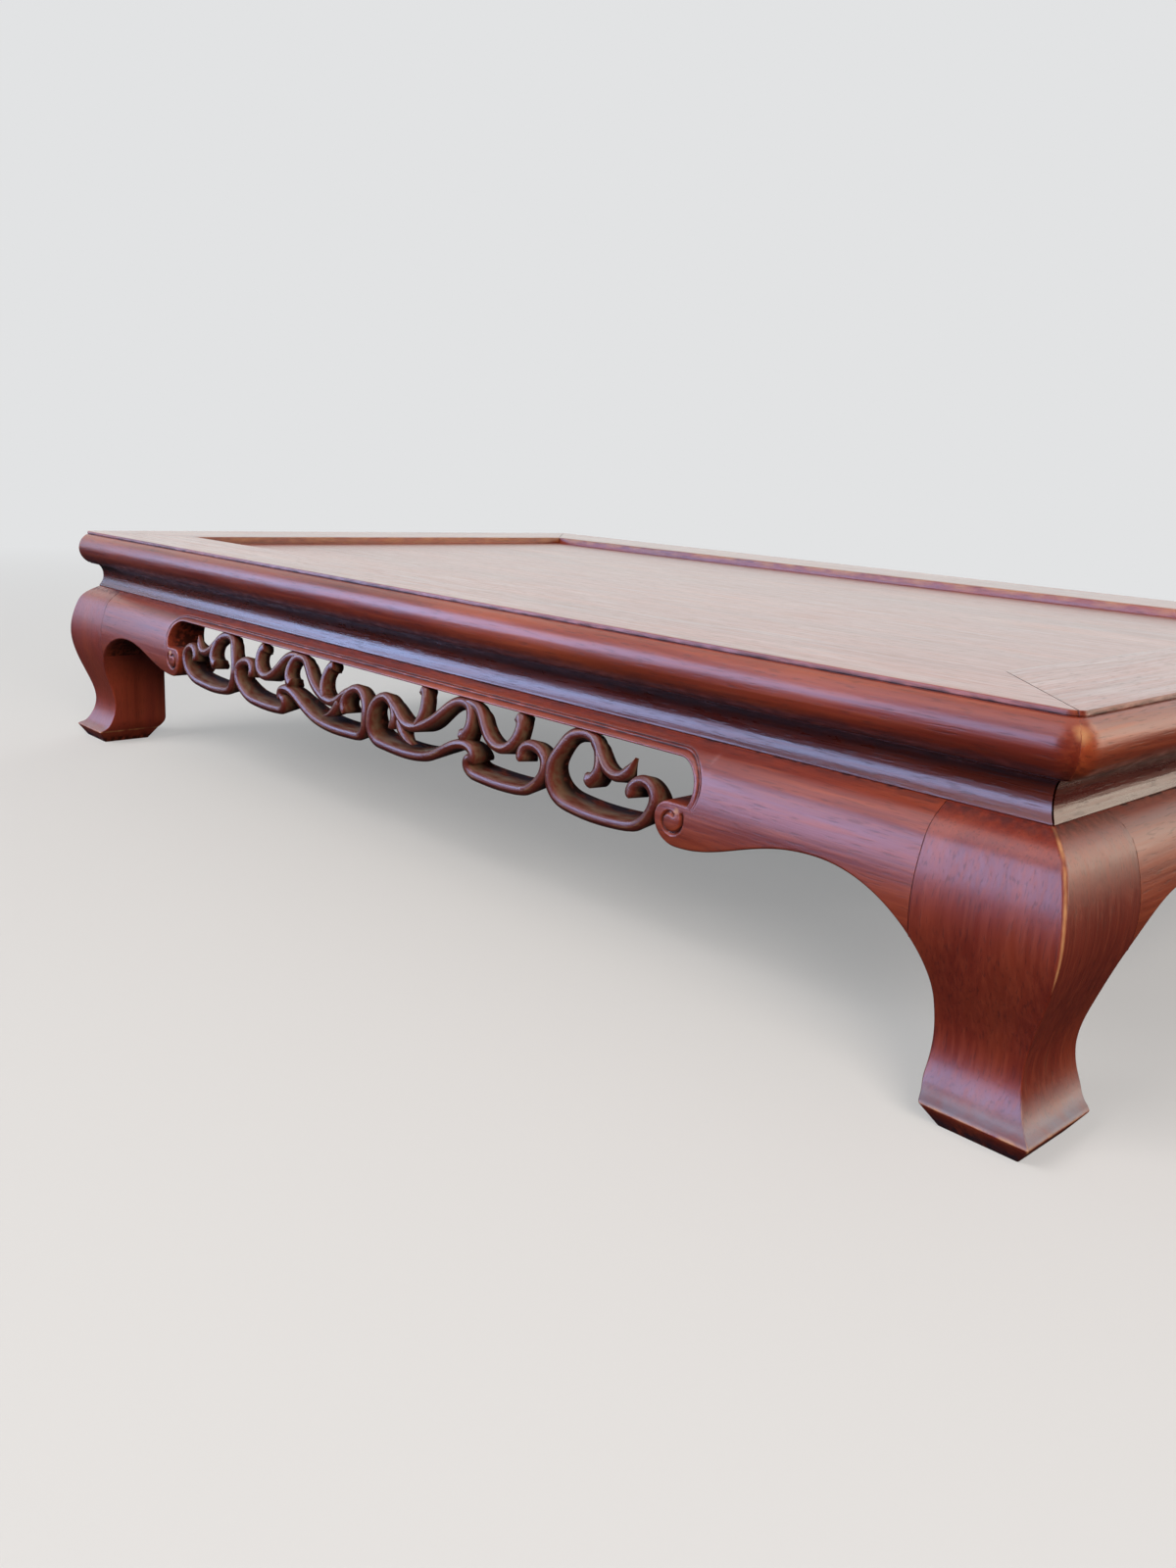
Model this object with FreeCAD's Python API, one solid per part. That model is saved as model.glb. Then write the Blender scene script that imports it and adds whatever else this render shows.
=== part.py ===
"""Low display table of polished rosewood: floating-panel top, waist, pierced bulging aprons, cabriole legs.

Millimetres. The origin is on the floor under the middle of the table, X along the long sides,
Y from front to back, Z up. Outward distances are measured from the edge of the flat top, so a
negative one lies inside that edge.
"""
import FreeCAD, Part
import math
import os

V = FreeCAD.Vector
UP = V(0, 0, 1)
CENTRE = V(0, 0, 0)

# Plan of the flat top, edge to edge
FLAT_LENGTH = 792.0
FLAT_WIDTH = 493.0

# Heights from the floor upwards
SOLE_HEIGHT = 9.0
LEG_HEIGHT = 118.0
WAIST_HEIGHT = 17.0
RAIL_THICKNESS = 24.0

# Top frame: rails with a rolled edge and softened corners
RAIL_WIDTH = 61.0
QUIRK_HEIGHT = 1.8
FILLET_HEIGHT = 0.8
ROLL_OUT = 6.3
FILLET_SET = 1.5
CORNER_RADIUS = 12.0
CORNER_TENON_SET = 18.0
CORNER_TENON_WIDTH = 26.0
CORNER_TENON_THICKNESS = 6.0
CORNER_TENON_COVER = 12.0
CORNER_TENON_RISE = 10.5

# Floating panel of two boards, held by a tongue in the rails
PANEL_DROP = 5.5
PANEL_THICKNESS = 11.0
TONGUE_THICKNESS = 5.0
TONGUE_LENGTH = 8.0
PANEL_PLAY = 0.5
BOARD_TONGUE_LENGTH = 4.0
BOARD_TONGUE_THICKNESS = 3.5
BOARD_TONGUE_COVER = 0.75

# Battens that keep the panel flat: a dovetail key above, a tenon at each end
BATTEN_SPACING = 300.0
BATTEN_WIDTH = 28.0
BATTEN_HEIGHT = 12.5
KEY_HEIGHT = 4.0
KEY_BASE = 14.0
KEY_TOP = 18.0
BATTEN_TENON_LENGTH = 12.0
BATTEN_TENON_WIDTH = 20.0
BATTEN_TENON_THICKNESS = 5.0

# Waist: a strip under each rail, hollowed from its lip below to its head under the rail. A lead is
# the height over which the hollow turns at either end.
WAIST_LIP_SET = 6.6
WAIST_LIP_HEIGHT = 0.8
WAIST_LIP_LEAD = 4.6
WAIST_COVE_SET = 10.5
WAIST_COVE_RISE = 9.3
WAIST_HEAD_SET = 5.4
WAIST_HEAD_LEAD = 2.5
WAIST_BACK_SET = 22.0
WAIST_TONGUE_HEIGHT = 3.0
WAIST_TONGUE_THICKNESS = 4.0
WAIST_TONGUE_SET = 14.0
APRON_TONGUE_SET = 10.0
APRON_TONGUE_STOP = 10.0

# Outer curve shared by legs and aprons, as outward distances at heights. A drop is measured
# down from the top of the leg, so that a taller leg keeps its shoulder and apron as they are.
FOOT_OUT = 9.0
INSTEP_OUT = 0.8
INSTEP_Z = 17.7
ANKLE_SET = 2.1
ANKLE_Z = 29.0
SHIN_OUT = 2.9
SHIN_Z = 51.0
BULGE_OUT = 10.4
BULGE_DROP = 37.0
SHOULDER_OUT = 6.4
SHOULDER_DROP = 14.0
NECK_SET = 6.6

# Leg: how far each part of it reaches in from the edge of the flat top
LEG_REACH = 47.0
ANKLE_REACH = 38.4
FOOT_REACH = 35.0
SOLE_INSET = 6.0
# A leg is deeper from front to back than it is wide: how much further its ankle and foot reach in that way
ANKLE_DEEPER = 4.2
FOOT_DEEPER = 2.7
LEG_TENON_SET = 24.0
LEG_TENON_THICKNESS = 7.0
LEG_TENON_GAP = 1.0
LEG_TENON_WIDTH = 13.0
LEG_TENON_SEAT = 8.0

# Apron: board with a long notch, and a spandrel that runs on into the leg as one arch
APRON_BACK_SET = 18.0
CROWN_REACH = 90.0
CROWN_DROP = 30.0
ARCH_SPRING = 46.0
NOTCH_REACH = 155.0
NOTCH_CORNER = 14.0
TOP_STRIP = 7.5
NOSE_LENGTH = 18.7
NOSE_RADIUS = 12.0
NOSE_DROP = 45.0
NOSE_HANDLE = 26.0
CROWN_HANDLE = 31.0
VOLUTE_RADIUS = 7.3
APRON_TENON_LENGTH = 14.0
APRON_TENON_THICKNESS = 9.0
APRON_TENON_SET = 4.0
APRON_TENON_DROP = 6.0
APRON_TENON_HEIGHT = 20.0

# Openwork scrolls that fill the notch
FRET_DROP = 47.5
FRET_RECESS = 1.5
FRET_THICKNESS = 14.0
STRAND_WIDTH = 4.8
LEAF_WIDTH = 3.6
FRET_END_GAP = 1.1
FRET_TOP_GAP = 0.4

# Clearance of a tongue or tenon in its groove or mortise, at its sides and at its end
SIDE_PLAY = 0.15
END_PLAY = 0.4

# The scroll drawing: centre lines of one half of the long panel, from its middle and its foot.
# Its end cell alone is one half of a short panel.
MIDDLE_STRANDS = {
    "centre_loop": [(22.5, 14), (24.9, 18.5), (24, 23.5), (20, 27.6), (14, 29.4), (7.8, 27.8), (3.6, 22.8),
                    (2.3, 16.5), (3, 9), (7, 4), (14, 2.5), (45, 2.5), (56, 4.8), (66, 9.3), (75, 14.3),
                    (83, 17.2), (89.5, 17.3), (93.8, 15)],
    "middle_cell": [(93.2, 13.2), (90, 10.6), (89.2, 6.6), (92.5, 3.4), (98, 2.5), (125, 2.5), (134.5, 4.3),
                    (142, 9.2), (147.1, 16), (147.1, 21.8), (142.8, 25.8), (137, 27.2), (132, 25.9),
                    (129.7, 22.3), (130.6, 18)],
    "first_wave": [(19.5, 27.8), (25, 25), (30.7, 20.8), (36.5, 18.4), (43.5, 18.6), (51, 21.3), (59, 26),
                   (67, 31.8), (73, 35.2), (79, 36.3), (84.3, 34.8), (87.6, 31), (87.8, 26.5), (85.5, 22.8),
                   (81.5, 21.2)],
    "second_wave": [(80, 36.6), (88, 36.2), (94, 33.6), (99, 29.5), (104, 25), (109, 22.2), (114, 21.4),
                    (119, 22.8), (123, 26.6), (124.6, 31.4), (122.6, 35.6), (118.5, 37)],
    "upright_hook": [(44.5, 19.5), (47.5, 23.5), (48.6, 28.5), (47.3, 33.3), (43.8, 36.4), (40.3, 36.6)],
}
MIDDLE_LEAF = [(29.5, 20.5), (32, 15.5), (36, 11.8), (41, 9.6), (44.5, 9)]
MIDDLE_PADS = [(73, 95), (118, 126), (41, 49.5)]
END_STRANDS = {
    "end_loop": [(175.7, 19.3), (179.3, 20.3), (182, 24), (181.8, 29), (178.5, 33.6), (173, 36.6),
                 (167, 37.2), (160.5, 35), (155.5, 29.6), (152, 22.8), (151.5, 16.5), (153.4, 9.8),
                 (158, 5), (165, 3), (200, 3), (207.5, 4.6), (214, 9), (218, 15), (218.8, 20),
                 (216, 24.3), (211, 26), (206.5, 24.3), (204.2, 20.6), (205, 17)],
    "end_wave": [(174.5, 35.9), (181, 31.5), (186, 27.6), (191, 25.2), (195.5, 25), (199.5, 27.2),
                 (202.3, 30.6), (203.8, 33.2)],
}
END_PADS = [(164, 177)]
PAD_DEPTH = 5.0
# Loops that touch each other keep their spacing this far to either side where a panel is stretched
MEETING_REACH = 8.0

# An arc that bows less than this is drawn as a straight line
STRAIGHT = 1e-4

# Worked-out places
HALF_LENGTH = FLAT_LENGTH / 2
HALF_WIDTH = FLAT_WIDTH / 2
RAIL_Z = LEG_HEIGHT + WAIST_HEIGHT
TOP_Z = RAIL_Z + RAIL_THICKNESS
PANEL_TOP = TOP_Z - PANEL_DROP
PANEL_UNDER = PANEL_TOP - PANEL_THICKNESS
TONGUE_Z = PANEL_UNDER + (PANEL_THICKNESS - TONGUE_THICKNESS) / 2
CORNER_TENON_Z = RAIL_Z + CORNER_TENON_RISE
BULGE_Z = LEG_HEIGHT - BULGE_DROP
SHOULDER_Z = LEG_HEIGHT - SHOULDER_DROP
ARCH_TOP = LEG_HEIGHT - CROWN_DROP
NOSE_Z = LEG_HEIGHT - NOSE_DROP
APRON_TENON_Z = LEG_HEIGHT - APRON_TENON_DROP - APRON_TENON_HEIGHT
NOTCH_TOP = LEG_HEIGHT - TOP_STRIP
FRET_BASE = LEG_HEIGHT - FRET_DROP
END_POINTS = [point for strand in END_STRANDS.values() for point in strand]
CELL_START = min(u for u, v in END_POINTS) - STRAND_WIDTH / 2
DRAWING_END = max(u for u, v in END_POINTS)
DRAWING_HEIGHT = max(v for u, v in END_POINTS) + STRAND_WIDTH / 2 + FRET_TOP_GAP
MEETINGS = [0.0, CELL_START]
KNEE_RATIO = (CROWN_REACH - LEG_REACH) / (CROWN_REACH - ANKLE_REACH)


def box(x0, x1, y0, y1, z0, z1):
    """A block between two corners, given in either order along each axis."""
    low = V(min(x0, x1), min(y0, y1), min(z0, z1))
    return Part.makeBox(abs(x1 - x0), abs(y1 - y0), abs(z1 - z0), low)


def line(p, q):
    """A straight edge."""
    return Part.LineSegment(p, q).toShape()


def arc(p, through, q):
    """A circular edge from p to q by way of a third point."""
    return Part.Arc(p, through, q).toShape()


def spline(points):
    """A smooth edge through the points."""
    curve = Part.BSplineCurve()
    curve.interpolate(points)
    return curve.toShape()


def bezier(poles):
    """A curved edge from the first pole to the last, drawn towards those between."""
    curve = Part.BezierCurve()
    curve.setPoles(poles)
    return curve.toShape()


def face(edges):
    """The flat face inside a closed run of edges."""
    return Part.Face(Part.Wire(edges))


def polygon(points):
    """The flat face inside straight lines through the points."""
    return Part.Face(Part.makePolygon(points + points[:1]))


def mirrored_x(shape):
    """The shape's reflection in the plane across the middle of the long side."""
    return shape.mirror(CENTRE, V(1, 0, 0))


def joined(shapes):
    """One solid made of solids that meet or overlap."""
    return shapes[0].multiFuse(shapes[1:]).removeSplitter()


def mitred_bar(length, width, outer, inner, z0, z1):
    """A bar along the front side, between two inward distances, cut at 45 degrees at both ends."""
    corners = [(length - outer, outer), (length - inner, inner)]
    points = [V(-corners[0][0], outer - width, z0), V(corners[0][0], outer - width, z0),
              V(corners[1][0], inner - width, z0), V(-corners[1][0], inner - width, z0)]
    return polygon(points).extrude(UP * (z1 - z0))


# Top frame

def roll_profile(x, width):
    """Rolled edge in the plane at x: quirk, half-round, fillet, back to the centre of the corner's curve."""
    edge_y = -width
    fillet_y = edge_y + FILLET_SET
    core_y = edge_y + CORNER_RADIUS - ROLL_OUT
    roll_top = TOP_Z - QUIRK_HEIGHT
    roll_foot = RAIL_Z + FILLET_HEIGHT
    crest = V(x, edge_y - ROLL_OUT, (roll_top + roll_foot) / 2)
    above = [V(x, core_y, TOP_Z), V(x, edge_y, TOP_Z), V(x, edge_y, roll_top)]
    below = [V(x, edge_y, roll_foot), V(x, fillet_y, roll_foot), V(x, fillet_y, RAIL_Z), V(x, core_y, RAIL_Z)]
    outline = [arc(above[-1], crest, below[0])]
    for run in (below + above[:1], above):
        outline += [line(p, q) for p, q in zip(run, run[1:])]
    return face(Part.__sortEdges__(outline))


def plain_rail(length, width):
    """A rail of the front side before its joints are cut: rolled edge, curved corners, mitred body."""
    core = CORNER_RADIUS - ROLL_OUT
    reach = length - core
    pivot = V(reach, core - width, 0)
    straight = roll_profile(-reach, width).extrude(V(2 * reach, 0, 0))
    corner = roll_profile(reach, width).revolve(pivot, UP, 45)
    body = mitred_bar(length, width, core, RAIL_WIDTH, RAIL_Z, TOP_Z)
    rail = joined([straight, corner, mirrored_x(corner), body])
    groove = mitred_bar(length, width, RAIL_WIDTH - TONGUE_LENGTH - PANEL_PLAY, RAIL_WIDTH + PANEL_PLAY,
                        TONGUE_Z, TONGUE_Z + TONGUE_THICKNESS + SIDE_PLAY)
    slot = mitred_bar(length, width, WAIST_TONGUE_SET - SIDE_PLAY,
                      WAIST_TONGUE_SET + WAIST_TONGUE_THICKNESS + SIDE_PLAY,
                      RAIL_Z, RAIL_Z + WAIST_TONGUE_HEIGHT + END_PLAY)
    return rail.cut([groove, slot])


def corner_tenon(play_side, play_end):
    """Tenon of a long rail in a short one, at the front right corner, grown by the given play."""
    y0 = CORNER_TENON_SET - HALF_WIDTH
    return box(HALF_LENGTH - RAIL_WIDTH, HALF_LENGTH - CORNER_TENON_COVER + play_end,
               y0 - play_side, y0 + CORNER_TENON_WIDTH + play_side,
               CORNER_TENON_Z - play_side, CORNER_TENON_Z + CORNER_TENON_THICKNESS + play_side)


def leg_tenons(play_side, play_end):
    """The pair of tenons on the front right leg, one under each rail, grown by the given play."""
    near = LEG_TENON_SET - play_side
    far = LEG_TENON_SET + LEG_TENON_THICKNESS + play_side
    start = LEG_TENON_SET + LEG_TENON_THICKNESS + LEG_TENON_GAP - play_side
    stop = start + LEG_TENON_WIDTH + 2 * play_side
    z1 = RAIL_Z + LEG_TENON_SEAT + play_end
    under_long = box(HALF_LENGTH - stop, HALF_LENGTH - start, near - HALF_WIDTH, far - HALF_WIDTH,
                     LEG_HEIGHT, z1)
    under_short = box(HALF_LENGTH - far, HALF_LENGTH - near, start - HALF_WIDTH, stop - HALF_WIDTH,
                      LEG_HEIGHT, z1)
    return [under_long, under_short]


def four_corners(shape):
    """The shape at the front right corner, and its reflections at the other three."""
    back = shape.mirror(CENTRE, V(0, 1, 0))
    return [shape, mirrored_x(shape), back, mirrored_x(back)]


def batten_tenon(play_side, play_end):
    """Tenon at the front end of the right-hand batten, grown by the given play."""
    x = BATTEN_SPACING / 2
    root_y = RAIL_WIDTH - HALF_WIDTH
    z = RAIL_Z + (PANEL_UNDER - RAIL_Z - BATTEN_TENON_THICKNESS) / 2
    half = BATTEN_TENON_WIDTH / 2 + play_side
    return box(x - half, x + half, root_y - BATTEN_TENON_LENGTH - play_end, root_y + PANEL_PLAY,
               z - play_side, z + BATTEN_TENON_THICKNESS + play_side)


def make_rails():
    """The four rails: tenons on the long pair, mortises in the short pair."""
    under_long, under_short = leg_tenons(SIDE_PLAY, END_PLAY)
    mortises = four_corners(under_long) + four_corners(under_short)
    batten_mortises = four_corners(batten_tenon(SIDE_PLAY, END_PLAY))
    tenon = corner_tenon(0, 0)
    front = joined([plain_rail(HALF_LENGTH, HALF_WIDTH), tenon, mirrored_x(tenon)])
    front = front.cut(mortises + batten_mortises)
    right = plain_rail(HALF_WIDTH, HALF_LENGTH).rotated(CENTRE, UP, 90)
    right = right.cut(mortises + four_corners(corner_tenon(SIDE_PLAY, END_PLAY)))
    return {"front_rail": front, "back_rail": front.mirror(CENTRE, V(0, 1, 0)),
            "right_rail": right, "left_rail": mirrored_x(right)}


# Panel and battens

def batten_key(x, play, stop):
    """Dovetail key along a batten, ending short of the rails by stop, grown by play."""
    base = KEY_BASE / 2 + play
    top = KEY_TOP / 2 + play
    reach = HALF_WIDTH - RAIL_WIDTH - stop
    z1 = PANEL_UNDER + KEY_HEIGHT + play
    points = [V(x - base, -reach, PANEL_UNDER), V(x + base, -reach, PANEL_UNDER),
              V(x + top, -reach, z1), V(x - top, -reach, z1)]
    return polygon(points).extrude(V(0, 2 * reach, 0))


def make_battens():
    """The two battens under the panel."""
    x = BATTEN_SPACING / 2
    reach = HALF_WIDTH - RAIL_WIDTH
    half = BATTEN_WIDTH / 2
    bar = box(x - half, x + half, -reach, reach, PANEL_UNDER - BATTEN_HEIGHT, PANEL_UNDER)
    tenon = batten_tenon(0, 0)
    batten = joined([bar, batten_key(x, 0, 2 * PANEL_PLAY), tenon, tenon.mirror(CENTRE, V(0, 1, 0))])
    return {"right_batten": batten, "left_batten": mirrored_x(batten)}


def make_boards():
    """The two boards of the floating panel, tongued into the rails and into each other."""
    core_x = HALF_LENGTH - RAIL_WIDTH - PANEL_PLAY
    core_y = HALF_WIDTH - RAIL_WIDTH - PANEL_PLAY
    tongue_x = core_x + TONGUE_LENGTH
    tongue_y = core_y + TONGUE_LENGTH
    tongue_top = TONGUE_Z + TONGUE_THICKNESS
    joint_z = PANEL_UNDER + KEY_HEIGHT + BOARD_TONGUE_COVER
    joint_top = joint_z + BOARD_TONGUE_THICKNESS
    keys = [batten_key(side * BATTEN_SPACING / 2, SIDE_PLAY, PANEL_PLAY) for side in (-1, 1)]
    half = joined([box(-core_x, core_x, -core_y, 0, PANEL_UNDER, PANEL_TOP),
                   box(-tongue_x, tongue_x, -tongue_y, 0, TONGUE_Z, tongue_top)])
    tongue = box(-core_x, core_x, 0, BOARD_TONGUE_LENGTH, joint_z, joint_top)
    groove = box(-tongue_x, tongue_x, 0, BOARD_TONGUE_LENGTH + END_PLAY,
                 joint_z - SIDE_PLAY, joint_top + SIDE_PLAY)
    front = joined([half, tongue]).cut(keys)
    back = half.mirror(CENTRE, V(0, 1, 0)).cut(keys + [groove])
    return {"front_panel_board": front, "back_panel_board": back}


# Waist

def waist_strip(length, width):
    """Coved strip of the front side, with a tongue into the rail above and one into the apron below."""
    x = -length
    cove_y = WAIST_COVE_SET - width
    back_y = WAIST_BACK_SET - width
    lip_foot = V(x, WAIST_LIP_SET - width, LEG_HEIGHT)
    lip = lip_foot + UP * WAIST_LIP_HEIGHT
    deepest = V(x, cove_y, LEG_HEIGHT + WAIST_COVE_RISE)
    head = V(x, WAIST_HEAD_SET - width, RAIL_Z)
    below = bezier([lip, V(x, cove_y, lip.z + WAIST_LIP_LEAD), deepest])
    above = bezier([deepest, V(x, cove_y, RAIL_Z - WAIST_HEAD_LEAD), head])
    back_foot = V(x, back_y, LEG_HEIGHT)
    back_head = V(x, back_y, RAIL_Z)
    profile = face([line(back_foot, lip_foot), line(lip_foot, lip), below, above,
                    line(head, back_head), line(back_head, back_foot)])
    bar = profile.extrude(V(2 * length, 0, 0))
    bar = bar.common(mitred_bar(length, width, 0, WAIST_BACK_SET, LEG_HEIGHT, RAIL_Z))
    top_tongue = mitred_bar(length, width, WAIST_TONGUE_SET, WAIST_TONGUE_SET + WAIST_TONGUE_THICKNESS,
                            RAIL_Z, RAIL_Z + WAIST_TONGUE_HEIGHT)
    return joined([bar, top_tongue, apron_tongue(length, width, 0, 0)])


def apron_tongue(length, width, play_side, play_end):
    """Tongue of the waist in the apron's top edge, grown by the given play."""
    reach = length - LEG_REACH - APRON_TONGUE_STOP + play_end
    y = APRON_TONGUE_SET - width
    return box(-reach, reach, y - play_side, y + WAIST_TONGUE_THICKNESS + play_side,
               LEG_HEIGHT - WAIST_TONGUE_HEIGHT - play_end, LEG_HEIGHT)


# Legs and aprons

def outer_points():
    """The shared outer curve from the foot's edge up to the shoulder, as (outward, height)."""
    return [(FOOT_OUT, SOLE_HEIGHT), (INSTEP_OUT, INSTEP_Z), (-ANKLE_SET, ANKLE_Z), (SHIN_OUT, SHIN_Z),
            (BULGE_OUT, BULGE_Z), (SHOULDER_OUT, SHOULDER_Z), (-NECK_SET, LEG_HEIGHT)]


def arch_points(first, last, steps=4):
    """Points of the elliptical arch, as (inward, height), between two sines measured from its crown."""
    angles = [math.asin(first) + (math.asin(last) - math.asin(first)) * i / steps for i in range(steps + 1)]
    run = CROWN_REACH - ANKLE_REACH
    rise = ARCH_TOP - ARCH_SPRING
    return [(CROWN_REACH - run * math.sin(t), ARCH_SPRING + rise * math.cos(t)) for t in angles]


def leg_profile(place, ankle_deeper, foot_deeper):
    """Side view of a leg. place turns (outward, height) into a point.

    Below the knee the inner edge leaves the arch smoothly, until it lies ankle_deeper further in. The
    foot reaches in further by foot_deeper.
    """
    outer = [place(d, z) for d, z in outer_points()]
    arch = arch_points(KNEE_RATIO, 1)
    knee_z = arch[0][1]
    inner = []
    for d, z in arch:
        share = (knee_z - z) / (knee_z - ARCH_SPRING)
        inner.append(place(-d - ankle_deeper * share * share * (3 - 2 * share), z))
    ankle_in = -ANKLE_REACH - ankle_deeper
    foot_in = -FOOT_REACH - foot_deeper
    top = place(-LEG_REACH, LEG_HEIGHT)
    ankle = place(ankle_in, INSTEP_Z)
    foot = place(foot_in, SOLE_HEIGHT)
    sole_in = place(foot_in + SOLE_INSET, 0)
    sole_out = place(FOOT_OUT - SOLE_INSET, 0)
    heel = bezier([ankle, place(ankle_in, (INSTEP_Z + SOLE_HEIGHT) / 2), foot])
    return face([spline(outer), line(outer[-1], top), line(top, inner[0]), spline(inner),
                 line(inner[-1], ankle), heel, line(foot, sole_in), line(sole_in, sole_out),
                 line(sole_out, outer[0])])


def apron_tenon(play_side, play_end):
    """Tenon of the front apron in the front right leg, grown by the given play."""
    root = HALF_LENGTH - LEG_REACH
    y = APRON_TENON_SET - HALF_WIDTH
    return box(root - play_end, root + APRON_TENON_LENGTH + play_end,
               y - play_side, y + APRON_TENON_THICKNESS + play_side,
               APRON_TENON_Z - play_side, APRON_TENON_Z + APRON_TENON_HEIGHT + play_side)


def swap_sides(shape):
    """Carries a shape at the front right corner from the front side to the right side of the leg."""
    corner = V(HALF_LENGTH, -HALF_WIDTH, 0)
    return shape.mirror(corner, V(1, 1, 0))


def make_legs():
    """The four legs: sawn to a curve on two sides, with tenons above and mortises for the aprons."""
    span = 2 * (LEG_REACH + BULGE_OUT)
    seen_from_front = leg_profile(lambda d, z: V(HALF_LENGTH + d, -HALF_WIDTH - span, z), 0, 0)
    seen_from_side = leg_profile(lambda d, z: V(HALF_LENGTH - span, -HALF_WIDTH - d, z),
                                 ANKLE_DEEPER, FOOT_DEEPER)
    block = seen_from_front.extrude(V(0, 2 * span, 0)).common(seen_from_side.extrude(V(2 * span, 0, 0)))
    mortise = apron_tenon(SIDE_PLAY, END_PLAY)
    leg = joined([block] + leg_tenons(0, 0)).cut([mortise, swap_sides(mortise)])
    names = ["front_right_leg", "front_left_leg", "back_right_leg", "back_left_leg"]
    return dict(zip(names, four_corners(leg)))


def bulging_slab(length, width, front, back):
    """A slab along the front side whose face follows the shared outer curve.

    front is how far that face lies behind the curve. back is the inward distance of a flat back,
    or None for a back that follows the curve FRET_THICKNESS behind the face.
    """
    curve = [V(-length, -width - d + front, z) for d, z in outer_points()]
    if back is None:
        rear = [p + V(0, FRET_THICKNESS, 0) for p in curve]
        edges = [spline(curve), line(curve[-1], rear[-1]), spline(rear[::-1]), line(rear[0], curve[0])]
    else:
        low = V(-length, back - width, curve[0].z)
        high = V(-length, back - width, curve[-1].z)
        edges = [spline(curve), line(curve[-1], high), line(high, low), line(low, curve[0])]
    return face(edges).extrude(V(2 * length, 0, 0))


def apron_outline(length):
    """Right half of an apron seen from the front: spandrel, nose, volute, notch, top strip."""
    def at(x, z):
        return V(x, 0, z)

    joint_x = length - LEG_REACH
    end_x = length - NOTCH_REACH
    tip_x = end_x - NOSE_LENGTH
    nose_x = tip_x + NOSE_RADIUS
    tip_z = NOSE_Z + NOSE_RADIUS
    volute_x = tip_x + VOLUTE_RADIUS
    volute_top = tip_z + VOLUTE_RADIUS
    diagonal = math.sqrt(0.5)
    arch = [at(length - d, z) for d, z in arch_points(0, KNEE_RATIO)][::-1]
    crown = arch[-1]
    spandrel = bezier([crown, crown - V(CROWN_HANDLE, 0, 0), at(nose_x + NOSE_HANDLE, NOSE_Z),
                       at(nose_x, NOSE_Z)])
    nose_mid = at(nose_x - NOSE_RADIUS * diagonal, tip_z - NOSE_RADIUS * diagonal)
    volute_mid = at(volute_x - VOLUTE_RADIUS * diagonal, tip_z + VOLUTE_RADIUS * diagonal)
    bend_x = end_x - NOTCH_CORNER
    bend_z = NOTCH_TOP - NOTCH_CORNER
    bend_mid = at(bend_x + NOTCH_CORNER * diagonal, bend_z + NOTCH_CORNER * diagonal)
    return face([line(at(0, LEG_HEIGHT), at(joint_x, LEG_HEIGHT)), line(at(joint_x, LEG_HEIGHT), arch[0]),
                 spline(arch), spandrel, arc(at(nose_x, NOSE_Z), nose_mid, at(tip_x, tip_z)),
                 arc(at(tip_x, tip_z), volute_mid, at(volute_x, volute_top)),
                 line(at(volute_x, volute_top), at(end_x, volute_top)),
                 line(at(end_x, volute_top), at(end_x, bend_z)),
                 arc(at(end_x, bend_z), bend_mid, at(bend_x, NOTCH_TOP)),
                 line(at(bend_x, NOTCH_TOP), at(0, NOTCH_TOP)), line(at(0, NOTCH_TOP), at(0, LEG_HEIGHT))])


def apron(length, width):
    """Apron of the front side, with its end tenons and the groove for the waist's tongue."""
    drawing = apron_outline(length)
    depth = V(0, -width - BULGE_OUT, 0)
    half = drawing.extrude(depth)
    board = bulging_slab(length, width, 0, APRON_BACK_SET).common(joined([half, mirrored_x(half)]))
    tenon = apron_tenon(0, 0).translated(V(length - HALF_LENGTH, HALF_WIDTH - width, 0))
    board = joined([board, tenon, mirrored_x(tenon)])
    return board.cut(apron_tongue(length, width, SIDE_PLAY, END_PLAY))


# Openwork scrolls

def unit_tangents(points):
    """Direction of the smooth line at each point: the weighted mean of the runs on either side."""
    runs = [q - p for p, q in zip(points, points[1:])]
    tangents = [V(runs[0])]
    for before, after in zip(runs, runs[1:]):
        tangents.append(before * (after.Length / before.Length) + after * (before.Length / after.Length))
    tangents.append(V(runs[-1]))
    return [t.normalize() for t in tangents]


def biarc_joint(p, tp, q, tq):
    """The point where two arcs meet that leave p along tp and reach q along tq."""
    chord = q - p
    bend = 2 * (1 - tp.dot(tq))
    along = chord.dot(tp + tq)
    if bend < 1e-9:
        reach = chord.dot(chord) / (2 * along)
    else:
        reach = (math.sqrt(along * along + bend * chord.dot(chord)) - along) / bend
    return (p + q + (tp - tq) * reach) * 0.5


def left_of(tangent):
    """The unit vector to the left of a direction in the drawing's plane."""
    return V(-tangent.z, 0, tangent.x)


def arc_end_tangent(p, tangent, q):
    """Direction at q of the arc that leaves p along the tangent."""
    chord = (q - p).normalize()
    return (chord * (2 * chord.dot(tangent)) - tangent).normalize()


def bow(p, tangent, q):
    """How far the arc that leaves p along the tangent and reaches q bows to the left of its chord."""
    chord = q - p
    half = chord.Length / 2
    return half * math.tan(math.asin(left_of(chord.normalize()).dot(tangent)) / 2)


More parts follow.
